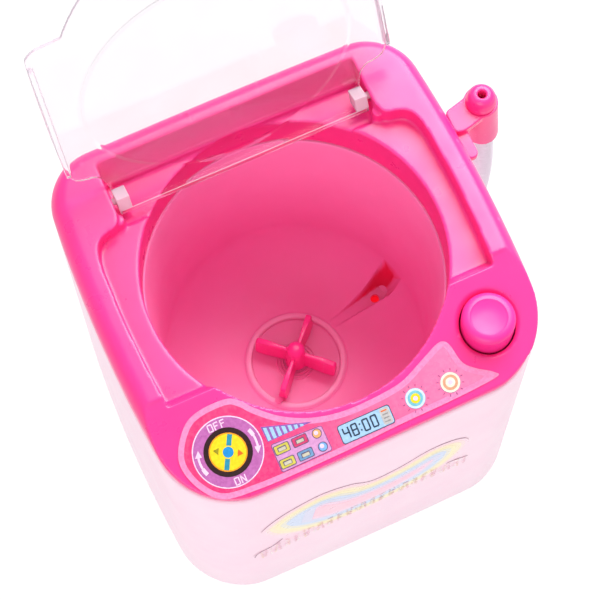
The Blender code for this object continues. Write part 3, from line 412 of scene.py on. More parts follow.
# ---------------------------------------------------------------- mesh helpers
def link(name, mesh, *materials):
    """Put a mesh in the scene as an object with these materials."""
    obj = bpy.data.objects.new(name, mesh)
    bpy.context.scene.collection.objects.link(obj)
    for m in materials:
        mesh.materials.append(m)
    return obj


def solid(name, verts, faces, *materials):
    """Object from millimetre vertices, faces outward, shaded smooth."""
    mesh = bpy.data.meshes.new(name)
    mesh.from_pydata([Vector(v) * MM for v in verts], [], faces)
    work = bmesh.new()
    work.from_mesh(mesh)
    bmesh.ops.recalc_face_normals(work, faces=work.faces)
    work.to_mesh(mesh)
    work.free()
    return link(name, mesh, *materials)


def shade(obj, angle=38.0):
    """Smooth shading, broken at edges sharper than the angle."""
    mesh = obj.data
    mesh.polygons.foreach_set("use_smooth", [True] * len(mesh.polygons))
    mesh.set_sharp_from_angle(angle=radians(angle))
    return obj


def loft(name, rings, *materials, looped=False):
    """Skin a stack of equal rings; a looped stack joins its last ring to its first."""
    count = len(rings[0])
    verts = [v for ring in rings for v in ring]
    faces = []
    spans = len(rings) if looped else len(rings) - 1
    for i in range(spans):
        low = i * count
        high = ((i + 1) % len(rings)) * count
        for j in range(count):
            k = (j + 1) % count
            faces.append((low + j, low + k, high + k, high + j))
    if not looped:
        faces.append(tuple(range(count)))
        faces.append(tuple(range(len(verts) - count, len(verts))))
    return solid(name, verts, faces, *materials)


def prism(name, plan, z0, z1, *materials):
    """Extrude a plan polygon from z0 to z1."""
    return loft(name, [[(x, y, z0) for x, y in plan], [(x, y, z1) for x, y in plan]], *materials)


def box(name, low, high, *materials):
    """A block between two corners."""
    plan = ((low[0], low[1]), (high[0], low[1]), (high[0], high[1]), (low[0], high[1]))
    return prism(name, plan, low[2], high[2], *materials)


def side_prism(name, profile, x0, x1, *materials):
    """Extrude a polygon of (y, z) points along X."""
    return loft(name, [[(x0, y, z) for y, z in profile], [(x1, y, z) for y, z in profile]], *materials)


def disc(center, r, sides, start=0.0):
    """Plan points of a circle."""
    x, y = center
    return [(x + r * cos(start + 2 * pi * j / sides), y + r * sin(start + 2 * pi * j / sides))
            for j in range(sides)]


def rod(name, center, r, z0, z1, *materials, sides=72):
    """Upright cylinder at a plan position."""
    return prism(name, disc(center, r, sides), z0, z1, *materials)


def lathe(name, profile, center, *materials, sides=96, axis="Z"):
    """Turn a closed profile of (radius, along) points about an axis through center."""
    turns = {"Z": Matrix.Identity(3), "X": Matrix.Rotation(pi / 2, 3, "Y")}
    basis = turns[axis]
    rings = []
    for j in range(sides):
        a = 2 * pi * j / sides
        rings.append([Vector(center) + basis @ Vector((r * cos(a), r * sin(a), h)) for r, h in profile])
    return loft(name, rings, *materials, looped=True)


def fillet(points, radius, steps=5, closed=True):
    """Round each corner of a flat polyline with a short curve."""
    out = []
    count = len(points)
    for i, point in enumerate(points):
        if not closed and i in (0, count - 1):
            out.append(point)
            continue
        p = Vector(point)
        before = Vector(points[i - 1])
        after = Vector(points[(i + 1) % count])
        reach = min(radius, 0.45 * (p - before).length, 0.45 * (after - p).length)
        a = p + (before - p).normalized() * reach
        b = p + (after - p).normalized() * reach
        for s in range(steps + 1):
            t = s / steps
            out.append(tuple(a * (1 - t) ** 2 + p * 2 * t * (1 - t) + b * t ** 2))
    return out


def spline(points, steps=6, closed=True):
    """Smooth curve through flat or solid points, several samples between each pair."""
    vectors = [Vector(p) for p in points]
    count = len(vectors)
    out = []
    spans = count if closed else count - 1
    for i in range(spans):
        if closed:
            p0, p1, p2, p3 = (vectors[(i + k) % count] for k in (-1, 0, 1, 2))
        else:
            p0, p1, p2, p3 = (vectors[min(max(i + k, 0), count - 1)] for k in (-1, 0, 1, 2))
        for s in range(steps):
            t = s / steps
            out.append(0.5 * (2 * p1 + (p2 - p0) * t + (2 * p0 - 5 * p1 + 4 * p2 - p3) * t ** 2
                              + (3 * p1 - p0 - 3 * p2 + p3) * t ** 3))
    if not closed:
        out.append(vectors[-1])
    return out


def swept_frames(points):
    """One rotation per path point that takes Z along the path without twisting."""
    frames = []
    basis = None
    for i in range(len(points)):
        before = points[max(i - 1, 0)]
        after = points[min(i + 1, len(points) - 1)]
        along = (after - before).normalized()
        if basis is None:
            basis = along.to_track_quat("Z", "Y").to_matrix()
        else:
            basis = (basis @ Vector((0, 0, 1))).rotation_difference(along).to_matrix() @ basis
        frames.append(basis)
    return frames


def sweep_rings(path, radii, sides, turn=None):
    """Rings of a round sweep; radii is one number or one per point."""
    points = [Vector(p) for p in path]
    if not isinstance(radii, (list, tuple)):
        radii = [radii] * len(points)
    frames = [turn] * len(points) if turn else swept_frames(points)
    return [[p + basis @ Vector((r * cos(2 * pi * j / sides), r * sin(2 * pi * j / sides), 0))
             for j in range(sides)] for p, basis, r in zip(points, frames, radii)]


def tube(name, path, radii, *materials, sides=48, turn=None):
    """Solid round sweep."""
    return loft(name, sweep_rings(path, radii, sides, turn), *materials)


def pipe(name, path, outer, inner, *materials, sides=48):
    """Hollow round sweep, open at both ends."""
    rings = sweep_rings(path, outer, sides) + list(reversed(sweep_rings(path, inner, sides)))
    return loft(name, rings, *materials, looped=True)


def combine(target, others, operation):
    """Bake an exact boolean of the others into target and remove them."""
    for other in others:
        change = target.modifiers.new(other.name, "BOOLEAN")
        change.object = other
        change.operation = operation
        change.solver = "EXACT"
    bake(target)
    for other in others:
        bpy.data.objects.remove(other)
    return target


def cut(target, *others):
    return combine(target, others, "DIFFERENCE")


def add(target, *others):
    return combine(target, others, "UNION")


def bake(obj):
    """Replace an object's mesh by the result of its modifiers."""
    bpy.context.view_layer.update()
    graph = bpy.context.evaluated_depsgraph_get()
    mesh = bpy.data.meshes.new_from_object(obj.evaluated_get(graph))
    obj.modifiers.clear()
    obj.data = mesh
    return obj


def moulded(obj, voxel, rounds):
    """Rebuild a solid on a fine grid and soften it, so that every edge gets a moulded radius."""
    grid = obj.modifiers.new("grid", "REMESH")
    grid.mode = "VOXEL"
    grid.voxel_size = voxel * MM
    grid.use_smooth_shade = True
    soften = obj.modifiers.new("soften", "SMOOTH")
    soften.factor = 0.5
    soften.iterations = rounds
    return bake(obj)


def outline(inset=0.0, z=0.0):
    """The housing's plan: a rounded rectangle whose sides bow outward."""
    half_w = HALF_W - inset
    half_d = HALF_D - inset
    corners = (
        (1, -1, FRONT_RADIUS, -90),
        (1, 1, REAR_RADIUS, 0),
        (-1, 1, REAR_RADIUS, 90),
        (-1, -1, FRONT_RADIUS, 180),
    )
    points = []
    for sx, sy, radius, start in corners:
        r = max(radius - inset, 1.0)
        cx = sx * (half_w - r)
        cy = sy * (half_d - r)
        for i in range(CORNER_STEPS + 1):
            a = radians(start + 90.0 * i / CORNER_STEPS)
            points.append((cx + r * cos(a), cy + r * sin(a)))
    dense = []
    for i, (x0, y0) in enumerate(points):
        x1, y1 = points[(i + 1) % len(points)]
        is_side = (i + 1) % (CORNER_STEPS + 1) == 0
        steps = SIDE_STEPS if is_side else 1
        for s in range(steps):
            t = s / steps
            dense.append((x0 + (x1 - x0) * t, y0 + (y1 - y0) * t))
    return [(x * (1 - SIDE_BULGE * (y / half_d) ** 2), y * (1 - END_BULGE * (x / half_w) ** 2), z)
            for x, y in dense]


def panel_z(y, drop=0.0):
    """Height of the sloping front panel at depth y."""
    return PANEL_Z + (y - PANEL_Y) * tan(PANEL_SLOPE) - drop


# ---------------------------------------------------------------- housing
def build_housing():
    """Pale shell with a small rounded lip at the seam and at the foot."""
    section = [(1.5, 0.0), (0.45, 0.05), (0.1, 0.3), (0.0, 0.8), (0.0, 30.0), (0.0, 60.0),
               (0.0, SEAM_Z - 1.2), (0.08, SEAM_Z - 0.5), (0.3, SEAM_Z - 0.15), (0.6, SEAM_Z),
               (WALL, SEAM_Z), (WALL, 4.4), (4.5, 4.4), (4.5, 2.4), (1.5, 2.4)]
    shell = loft("housing_shell", [outline(inset, z) for inset, z in section], MATS["pale"], looped=True)
    cut(shell, tube("outlet_hole", ((40, OUTLET_Y, OUTLET_Z), (55, OUTLET_Y, OUTLET_Z)), 3.0))
    shade(shell, 50.0)
    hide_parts("outer_body")
    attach(shell, "chassis")


# ---------------------------------------------------------------- top cover
def seat_plan():
    """Plan of the lid seat: wide in front, narrower between the two rear shoulders."""
    w = SEAT_HALF_W
    curve = spline([(w, -10.0), (w + 0.3, 2.0), (w, 14.0), (w - 0.6, 19.5), (w - 2.2, 22.6),
                    (w - 4.8, SHOULDER_Y), (SHOULDER_X + 3.0, SHOULDER_Y + 0.1),
                    (SHOULDER_X + 1.2, SHOULDER_Y + 1.0), (SHOULDER_X + 0.2, SHOULDER_Y + 3.4),
                    (SHOULDER_X, 31.0)], 5, closed=False)
    half = [(w - 1.0, RIDGE_Y - 4.0)] + [tuple(p) for p in curve] + [(SHOULDER_X, SEAT_REAR_Y)]
    return half + [(-x, y) for x, y in reversed(half)]


def cover_block():
    """Outer form of the cover, with its top edge rolled over."""
    rings = [outline(0.5, COVER_Z), outline(0.5, COVER_Z + 2.9), outline(0.0, COVER_Z + 3.5)]
    steps = 12
    for i in range(steps + 1):
        a = radians(90.0 * i / steps)
        rise = (COVER_TOP - COVER_EDGE_Z) * sin(a)
        rings.append(outline(RIM_INSET * (1 - cos(a)), COVER_EDGE_Z + rise))
    return loft("deck_cover", rings)


def build_cover():
    cover = cover_block()
    far = 60.0
    above = COVER_TOP + 8.0
    wedge = side_prism("panel_cut", ((-far, panel_z(-far)), (SEAT_FRONT_Y, panel_z(SEAT_FRONT_Y)),
                                     (SEAT_FRONT_Y, above), (-far, above)), -far, far)
    seat = prism("seat_cut", seat_plan(), SEAT_Z, above)
    run = (RIDGE_Y - SEAT_FRONT_Y) / (panel_z(RIDGE_Y) - SEAT_Z)
    top = above + 1.0
    low = SEAT_Z - 1.0
    cut(seat, side_prism("seat_ramp", ((SEAT_FRONT_Y + run * (top - SEAT_Z), top), (-far, top),
                                       (-far, low), (SEAT_FRONT_Y - run, low)), -far, far))
    rear = side_prism("rear_slope", ((SEAT_REAR_Y - 3.0, SEAT_Z), (SEAT_REAR_Y, SEAT_Z),
                                     (REAR_RIM_Y, COVER_TOP + 0.2), (REAR_RIM_Y, above),
                                     (SEAT_REAR_Y - 3.0, above)), -SHOULDER_X, SHOULDER_X)
    trough = box("hinge_trough", (-SHOULDER_X + 0.2, TROUGH_Y[0], TROUGH_Z),
                 (SHOULDER_X - 0.2, TROUGH_Y[1], above - 6.0))
    cut(cover, wedge, seat, rear, trough)

    pocket = loft("pocket", [outline(WALL, z) for z in (COVER_Z - 2.0, SEAT_UNDER)])
    under_panel = ((-far, panel_z(-far, PANEL_T)), (SEAT_FRONT_Y, panel_z(SEAT_FRONT_Y, PANEL_T)),
                   (SEAT_FRONT_Y, above), (-far, above))
    keep_panel = side_prism("panel_keep", under_panel, -far, far)
    keep_trough = box("trough_keep", (-SHOULDER_X - 1.5, TROUGH_Y[0] - 1.5, TROUGH_Z - 1.6),
                      (SHOULDER_X + 1.5, TROUGH_Y[1] + 1.5, 110.0))
    keep_skirt = rod("skirt_keep", (0.0, HOLE_Y), SKIRT_R, *THROUGH, sides=RIM_SIDES)
    cut(pocket, keep_panel, keep_skirt, keep_trough)
    cut(cover, pocket)
    extras = [rod("hole_skirt", (0.0, HOLE_Y), SKIRT_R - 0.05, SKIRT_Z, COVER_Z + 2.0,
                  sides=RIM_SIDES),
              tube("hook_peg", (HOOK_PEG, (HOOK_PEG[0] + 5.6, *HOOK_PEG[1:])), HOOK_PEG_R)]
    for x, y in COVER_SCREWS:
        extras.append(rod(f"boss_{x:.0f}_{y:.0f}", (x, y), BOSS_R, TUB_TOP + 0.3, SEAT_UNDER + 0.7))
    for side in (-1, 1):
        extras.append(rod(f"knuckle_{side}", (side * KNUCKLE[0], KNUCKLE[1]), KNUCKLE_R,
                          SEAT_Z - 1.0, KNUCKLE_TOP))
    add(cover, *extras)
    holes = [rod("tub_opening", (0.0, HOLE_Y), HOLE_R, *THROUGH, sides=RIM_SIDES),
             rod("button_bore", POD, BUTTON_BORE_R, 90.0, 120.0, sides=96),
             loft("button_countersink", [[(x, y, panel_z(y) + lift) for x, y in disc(POD, r, 96)]
                                         for r, lift in BORE_LIP])]
    for x, y in COVER_SCREWS:
        holes.append(rod(f"bore_{x:.0f}_{y:.0f}", (x, y), PILOT_R, *PILOT_Z, sides=24))
    for side in (-1, 1):
        ends = [(side * x, HINGE.y, HINGE.z) for x in (SHOULDER_X - 1.0, LID_PIN_END + 0.5)]
        holes.append(tube(f"pin_hole_{side}", ends, LID_PIN_R + 0.3, sides=24))
    cut(cover, *holes)
    moulded(cover, 0.36, 5)
    cover.data.materials.clear()
    cover.data.materials.append(MATS["deck"])
    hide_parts("top_cover")
    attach(cover, "chassis")


# ---------------------------------------------------------------- tub
def channel_floor(x, y, z):
    """Height of the tub floor once the teardrop drain channel is sunk into it."""
    inner = Vector((12.6, 6.0))
    outer = DRAIN + Vector((1.9, 1.0))
    axis = outer - inner
    p = Vector((x, y)) - inner
    t = p.dot(axis) / axis.length_squared
    if t < 0.0:
        return z
    side = p - axis * t
    half = 1.1 + 0.8 * min(t, 1.0)
    off = hypot(side.length, max(0.0, t - 1.0) * axis.length)
    edge = max(0.0, off - half)
    far_side = side.y > 0.0
    slope = 4.0 if far_side else 3.2
    wall = FLOOR_Z - 0.15 - 0.35 * min(t, 1.0) + slope * edge + 0.06 * off ** 2
    return min(z, wall)


def tub_profile():
    """Closed section of the tub: inner wall, floor, ring and seal seat, then the outside."""
    inside = [(36.15, TUB_TOP), (36.0, TUB_TOP - 0.15), (TUB_MOUTH_R, TUB_TOP - 0.7)]
    steps = 14
    for i in range(1, steps):
        t = i / steps
        inside.append((TUB_MOUTH_R - (TUB_MOUTH_R - BOWL_R) * t, TUB_TOP - 0.7 - (TUB_TOP - 37.7) * t))
    steps = 44
    reach = BOWL_R - BOWL_START_R
    for i in range(steps + 1):
        a = radians(90.0 * i / steps)
        inside.append((BOWL_START_R + reach * cos(a), FLOOR_Z + BOWL_RISE * (1 - sin(a))))
    inner, outer = RING_R
    inside += [(outer + 0.25, FLOOR_Z), (outer + 0.1, FLOOR_Z + 0.08), (outer - 0.2, RING_TOP - 0.5),
               (outer - 0.4, RING_TOP - 0.36), (outer - 0.7, RING_TOP - 0.3),
               (inner + 0.5, RING_TOP - 0.3), (inner + 0.25, RING_TOP - 0.36),
               (inner + 0.1, RING_TOP - 0.55), (inner, FLOOR_Z + 0.1),
               (inner - 0.1, FLOOR_Z - 0.1)]
    r = inner - 0.4
    while r > 2.9:
        wave = 0.3 * max(0.0, cos(2 * pi * (r - 3.5) / 0.8)) if r < 5.4 else 0.0
        inside.append((r, FLOOR_Z - 0.1 + wave))
        r -= 0.1 if r < 5.6 else 0.4
    outside = [(2.6, FLOOR_Z - 0.1), (2.6, FLOOR_UNDER), (26.0, FLOOR_UNDER), (30.0, 21.3),
               (33.0, 23.6), (34.9, 27.8), (35.6, 34.0), (36.2, 62.0), (36.6, 85.0), (36.6, TUB_TOP)]
    assert len(outside) == TUB_OUTSIDE
    return inside + outside


def bowl_height(r):
    """Height of the plain bowl at radius r, before the drain channel is sunk into it."""
    t = min(max((r - BOWL_START_R) / (BOWL_R - BOWL_START_R), 0.0), 1.0)
    return FLOOR_Z + BOWL_RISE * (1 - (1 - t * t) ** 0.5)


def store_channel_shade(tub):
    """Store painted shade for the channel's far wall: how far each point is down the wall, times how
    much it faces away from the key light.
    """
    mesh = tub.data
    stored = mesh.attributes.new("sunk", "FLOAT", "POINT")
    for v in mesh.vertices:
        x, y, z = v.co / MM
        r = hypot(x, y - HOLE_Y)
        if RING_R[1] < r < BOWL_R and FLOOR_Z - 1.0 < z < FLOOR_Z + BOWL_RISE:
            # painted shade: more crimson the deeper the point and the more its wall faces away from the
            # key light
            depth = min(max((bowl_height(r) - z) / CHANNEL_SHADE_DEPTH, 0.0), 1.0)
            facing = min(max(-(0.8 * v.normal.y + 0.35 * v.normal.x) - 0.15, 0.0) / 0.4, 1.0)
            stored.data[v.index].value = depth * facing


def build_tub():
    profile = tub_profile()
    sections = len(profile)
    inner_count = sections - TUB_OUTSIDE
    tub = lathe("wash_tub", profile, (0.0, HOLE_Y, 0.0), MATS["tub"], MATS["ring"], sides=480)
    for v in tub.data.vertices:
        x, y, z = v.co / MM
        r = hypot(x, y - HOLE_Y)
        on_bowl = RING_R[1] - 0.2 < r < BOWL_R - 0.1 and FLOOR_Z - 0.1 < z < TUB_TOP - 40.0
        if on_bowl and v.index % sections < inner_count:
            v.co.z = channel_floor(x, y, z) * MM
    tub.data.update()
    for face in tub.data.polygons:
        x, y, z = face.center / MM
        r = hypot(x, y - HOLE_Y)
        if RING_R[0] - 0.1 < r < RING_R[1] + 0.1 and FLOOR_Z < z < RING_TOP:
            face.material_index = 1
    cut(tub, rod("drain_hole", tuple(DRAIN), DRAIN_R, 15.0, 26.0, sides=32))
    gate_ends = ((*RING_GATE, FLOOR_Z), (*RING_GATE, RING_TOP + 0.1))
    gate = tube("ring_gate", gate_ends, 1.0, MATS["tub"], sides=24)
    add(tub, gate)
    shade(tub, 40.0)
    # painted shade for the drain channel's far wall
    store_channel_shade(tub)
    flange = loft("tub_flange", [outline(2.5, z) for z in (86.0, TUB_TOP - 0.1)], MATS["tub"])
    cutters = [rod("flange_opening", (0.0, HOLE_Y), FLANGE_OPENING_R, 80.0, 92.0, sides=RIM_SIDES)]
    for x, y in COVER_SCREWS:
        cutters.append(rod(f"flange_hole_{x:.0f}_{y:.0f}", (x, y), SCREW_HOLE_R, 80.0, 92.0, sides=24))
    cut(flange, *cutters)
    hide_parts("tub")
    for piece in (tub, flange):
        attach(piece, "chassis")


def build_pulsator():
    hub_profile = [(1.24, BLADE_Z[0]), (2.9, BLADE_Z[0]), (2.85, 24.2), (2.7, 26.5),
                   (2.5, 30.0), (2.4, HUB_TOP - 2.3)]
    for i in range(1, 9):
        a = radians(90.0 * i / 8)
        hub_profile.append((0.3 + 2.1 * cos(a), HUB_TOP - 2.3 + 2.3 * sin(a)))
    hub_profile += [(0.3, 31.4), (1.24, 31.4)]
    hub = lathe("pulsator_rotor", hub_profile, (0.0, HOLE_Y, 0.0), sides=64)
    plug = rod("hub_plug", (0.0, HOLE_Y), 0.9, 31.6, HUB_TOP - 0.05)
    blades = [plug]
    for i in range(4):
        a = radians(BLADE_ANGLE + 90.0 * i)
        direction = Vector((cos(a), sin(a)))
        across = Vector((-sin(a), cos(a)))
        rings = []
        for r, low, high, foot, crest in BLADE_SECTIONS:
            mid = direction * r
            ring = []
            for reach, z in ((foot, low), (-foot, low), (-crest, high), (crest, high)):
                ring.append((mid.x + across.x * reach, HOLE_Y + mid.y + across.y * reach, z))
            rings.append(ring)
        blades.append(loft(f"blade_{i}", rings))
    add(hub, *blades)
    moulded(hub, 0.17, 4)
    hub.data.materials.clear()
    hub.data.materials.append(MATS["rotor"])
    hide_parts("pulsator")
    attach(hub, "pulsator_drive")


# ---------------------------------------------------------------- button
def build_button():
    top = [(BUTTON_R, BUTTON_TOP - 2.4)]
    steps = 8
    for i in range(steps + 1):
        a = radians(90.0 * i / steps)
        top.append((BUTTON_R - 1.9 * (1 - cos(a)), BUTTON_TOP - 1.5 + 1.5 * sin(a)))
    for r, share in DISH_CURVE:
        top.append((r, BUTTON_TOP - BUTTON_DISH * share))
    foot = [(BUTTON_BORE, BUTTON_FOOT), (BUTTON_R, BUTTON_FOOT)]
    profile = foot + top + [(0.3, BUTTON_CEILING), (BUTTON_BORE, BUTTON_CEILING)]
    cap = lathe("button_cap", profile, (*POD, 0.0), MATS["cap"], sides=120)
    add(cap, rod("cap_plug", POD, 0.8, BUTTON_CEILING + 0.1, BUTTON_TOP - BUTTON_DISH - 0.001))
    shade(cap, 30.0)
    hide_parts("push_button")
    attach(cap, "button")


# ---------------------------------------------------------------- printed film
FILM_T = 0.22
INK_T = 0.03
LABEL_OUTLINE = ((-42.9, 15.3), (-43.9, 10.8), (-41.9, 5.0), (-37.6, 0.8), (-29.4, -0.3), (-19.5, -0.5),
                 (-6.8, -0.4), (6.1, 0.1), (19.0, 0.3), (31.0, 1.0), (31.2, 2.4), (27.5, 5.0),
                 (25.2, 7.5), (24.2, 12.0), (23.1, 13.6), (21.0, 13.5), (16.2, 11.4), (10.0, 8.9),
                 (2.0, 8.1), (-5.5, 8.3), (-12.4, 9.9), (-18.5, 13.0), (-23.1, 17.0), (-25.6, 19.9),
                 (-28.5, 21.6), (-34.8, 21.6), (-39.2, 19.9))
DIAL = Vector((-32.7, 10.3))
DIAL_TURN = radians(-28.0)
KEYPAD = ((-23.3, 8.0), (-10.6, 7.4), (-10.4, 1.0), (-23.3, 0.9))
DISPLAY = Vector((-1.1, 3.3))
DISPLAY_HALF = (6.4, 2.1)
KNOBS = (Vector((11.8, 4.2)), Vector((20.8, 4.3)))
HEART = ((-30.2, 57.0), (-29.5, 60.9), (-24.1, 67.2), (-14.9, 71.0), (-6.9, 68.0), (-0.8, 62.2),
         (6.7, 63.0), (14.6, 66.8), (21.6, 65.4), (25.6, 60.0), (24.6, 51.6), (19.5, 43.6), (11.0, 38.2),
         (0.0, 35.4), (-11.0, 36.4), (-20.0, 40.8), (-27.2, 48.6))


def inset_shape(points, distance):
    """Move a closed outline inward by a distance, dropping what would cross itself."""
    count = len(points)
    area = sum(points[i][0] * points[(i + 1) % count][1] - points[(i + 1) % count][0] * points[i][1]
               for i in range(count))
    turn = 1.0 if area > 0 else -1.0
    moved = []
    for i in range(count):
        along = (Vector(points[(i + 1) % count]) - Vector(points[i - 1])).normalized()
        moved.append(Vector(points[i]) + Vector((-along.y, along.x)) * distance * turn)
    kept = []
    for p in moved:
        if all(segment_distance(p, points[i - 1], points[i]) > 0.97 * distance for i in range(count)):
            kept.append(tuple(p))
    return kept


def deep_inset(points, distance, step=0.5):
    """Move a closed outline inward in short steps, so that a concave corner can't fold."""
    rounds = max(1, round(distance / step))
    for _ in range(rounds):
        points = inset_shape(points, distance / rounds)
    return points


def segment_distance(p, a, b):
    """Distance from a flat point to the stretch between two others."""
    a = Vector(a)
    span = Vector(b) - a
    t = max(0.0, min(1.0, (p - a).dot(span) / max(span.length_squared, 1e-12)))
    return (p - a - span * t).length


def circle(center, r, steps=72):
    return disc(center, r, steps)


def rounded_rect(center, half_w, half_h, radius, turn=0.0):
    """Rounded rectangle about a centre, turned by an angle."""
    corners = [(-half_w, -half_h), (half_w, -half_h), (half_w, half_h), (-half_w, half_h)]
    out = []
    for x, y in fillet(corners, radius, 5):
        out.append((center[0] + x * cos(turn) - y * sin(turn),
                    center[1] + x * sin(turn) + y * cos(turn)))
    return out


def stroke(points, width):
    """Outline of a pen stroke of constant width along a polyline."""
    line = [Vector(p) for p in points]
    left = []
    right = []
    for i, p in enumerate(line):
        along = (line[min(i + 1, len(line) - 1)] - line[max(i - 1, 0)]).normalized()
        side = Vector((-along.y, along.x)) * width / 2
        left.append(tuple(p + side))
        right.append(tuple(p - side))
    return left + right[::-1]


def arc_line(center, r, start, end, steps=14):
    """Points along an arc, angles in degrees."""
    return [(center[0] + r * cos(radians(start + (end - start) * i / steps)),
             center[1] + r * sin(radians(start + (end - start) * i / steps))) for i in range(steps + 1)]


def polar(center, r, degrees):
    return (center[0] + r * cos(radians(degrees)), center[1] + r * sin(radians(degrees)))


def printed(name, shapes, place, strip=None):
    """One piece of layered ink: each shape is a closed wafer of (points, level, material, thickness)."""
    verts = []
    faces = []
    marks = []
    inks = []
    for points, level, material, thick in shapes:
        if material not in inks:
            inks.append(material)
        flat = bmesh.new()
        face = flat.faces.new([flat.verts.new((x, v, 0.0)) for x, v in points])
        face.normal_update()
        bmesh.ops.triangulate(flat, faces=flat.faces)
        if strip:
            low = min(x for x, v in points)
            high = max(x for x, v in points)
            x = low + strip
            while x < high:
                bmesh.ops.bisect_plane(flat, geom=flat.verts[:] + flat.edges[:] + flat.faces[:],
                                       plane_co=(x, 0.0, 0.0), plane_no=(1.0, 0.0, 0.0))
                x += strip
        flat.verts.index_update()
        base = len(verts)
        count = len(flat.verts)
        for lift in (level * INK_T, level * INK_T + thick):
            verts += [place(v.co.x, v.co.y, lift) for v in flat.verts]
        new = []
        for face in flat.faces:
            ring = [v.index for v in face.verts]
            new.append([base + i for i in reversed(ring)])
            new.append([base + count + i for i in ring])
        for edge in flat.edges:
            if edge.is_boundary:
                a, b = (v.index for v in edge.verts)
                new.append([base + a, base + b, base + count + b, base + count + a])
        faces += new
        marks += [inks.index(material)] * len(new)
        flat.free()
    obj = solid(name, verts, faces, *inks)
    obj.data.polygons.foreach_set("material_index", marks)
    return obj


def on_panel(x, v, lift):
    """A point on the sloping panel: x across, v up the slope, lifted off its surface."""
    return (x, PANEL_Y + v * cos(PANEL_SLOPE) - lift * sin(PANEL_SLOPE),
            PANEL_Z + v * sin(PANEL_SLOPE) + lift * cos(PANEL_SLOPE))


def on_front(x, z, lift):
    """A point on the housing's bowed front, lifted off it."""
    return (x, -HALF_D * (1 - END_BULGE * (x / HALF_W) ** 2) - lift, z)


def dial_shapes(inks):
    """The round OFF and ON dial."""
    shapes = [(circle(DIAL, 8.28, 96), 1, inks["film_white"], INK_T),
              (circle(DIAL, 8.0, 96), 2, inks["mauve"], INK_T),
              (circle(DIAL, 5.65), 3, inks["dark"], INK_T),
              (circle(DIAL, 4.45), 4, inks["amber"], INK_T),
              (circle(DIAL, 4.15), 5, inks["yellow"], INK_T)]
    axis = Vector((-sin(DIAL_TURN), cos(DIAL_TURN)))
    across = Vector((cos(DIAL_TURN), sin(DIAL_TURN)))
    for side in (-1, 1):
        hand = [DIAL + axis * side * 1.5, DIAL + axis * side * 4.1]
        shapes.append((stroke(hand, 1.15), 6, inks["teal"], INK_T))
        tip = DIAL + across * side * 3.5
        back = DIAL + across * side * 2.2
        ink_name = "orange" if side > 0 else "olive"
        pointer = [tuple(tip), tuple(back + axis * 0.85), tuple(back - axis * 0.85)]
        shapes.append((pointer, 6, inks[ink_name], INK_T))
        start = 24.0 if side > 0 else 204.0
        body = arc_line(DIAL, 6.9, start, start - 38.0)
        shapes.append((stroke(body, 0.5), 3, inks["film_white"], INK_T))
        tail = arc_line(DIAL, 6.9, start, start - 14.0, 6)
        shapes.append((stroke(tail, 0.9), 4, inks["film_white"], INK_T))
        head = [polar(DIAL, r, start - turn) for r, turn in ((6.1, 36.0), (7.7, 36.0), (6.9, 50.0))]
        shapes.append((head, 4, inks["film_white"], INK_T))
    shapes.append((circle(DIAL, 1.25, 40), 6, inks["azure"], INK_T))
    return shapes + word_shapes("OFF", (DIAL.x - 0.1, DIAL.y + 6.55), inks["film_white"]) \
        + word_shapes("ON", (DIAL.x + 0.1, DIAL.y - 6.9), inks["film_white"])


LETTER = {
    "O": [[(0.0, 0.0), (1.0, 0.0), (1.0, 1.6), (0.0, 1.6), (0.0, -0.12)]],
    "F": [[(0.0, -0.1), (0.0, 1.7)], [(0.0, 1.6), (1.0, 1.6)], [(0.0, 0.85), (0.8, 0.85)]],
    "N": [[(0.0, -0.1), (0.0, 1.7)], [(0.05, 1.6), (0.95, 0.0)], [(1.0, -0.1), (1.0, 1.7)]],
}


def word_shapes(word, center, material):
    """Plain stroke letters, centred."""
    pitch = 1.55
    shapes = []
    for i, letter in enumerate(word):
        x = center[0] + (i - (len(word) - 1) / 2) * pitch - 0.5
        for line in LETTER[letter]:
            for a, b in zip(line, line[1:]):
                ends = [(x + a[0], center[1] - 0.8 + a[1]), (x + b[0], center[1] - 0.8 + b[1])]
                shapes.append((stroke(ends, 0.27), 3, material, INK_T))
    return shapes


def keypad_shapes(inks):
    """Fan of blue bars, mauve key block, four keys and two lamps."""
    shapes = [(fillet(KEYPAD, 0.7, 4), 2, inks["mauve_edge"], INK_T),
              (inset_shape(fillet(KEYPAD, 0.7, 4), 0.25), 3, inks["lilac"], INK_T)]
    top = [(-23.7, 12.6), (-12.2, 8.9), (-23.5, 8.7)]
    shapes.append((top, 1, inks["plum"], INK_T))
    bars = 7
    for i in range(bars):
        x = -23.3 + i * 1.35
        high = 12.2 - (x + 23.5) * 0.32
        bar = [(x, 8.9), (x + 0.8, 8.9), (x + 0.8, high - 0.25), (x, high)]
        shapes.append((bar, 2, inks["ice"], INK_T))
    keys = (((-21.1, 6.1), "olive_key"), ((-16.6, 6.1), "red_key"),
            ((-21.1, 2.7), "olive_key"), ((-16.6, 2.7), "blue_key"))
    for center, ink_name in keys:
        shapes += [(rounded_rect(center, 1.9, 1.15, 0.45), 4, inks["key_line"], INK_T),
                   (rounded_rect(center, 1.7, 0.97, 0.38), 5, inks[ink_name], INK_T),
                   (rounded_rect(center, 1.05, 0.52, 0.15), 6, inks["key_line"], INK_T),
                   (rounded_rect((center[0], center[1] - 0.08), 0.87, 0.36, 0.1), 7,
                    inks["key_face"], INK_T)]
    for center, ink_name in (((-12.4, 6.0), "lamp_orange"), ((-12.3, 2.7), "lamp_blue")):
        shapes += [(circle(center, 1.15, 36), 4, inks["key_line"], INK_T),
                   (circle(center, 0.95, 36), 5, inks[ink_name], INK_T),
                   (circle((center[0] - 0.15, center[1] + 0.2), 0.5, 24), 6, inks["film_white"], INK_T)]
    return shapes


SEGMENTS = {"4": "fgbc", "8": "abcdefg", "0": "abcdef"}


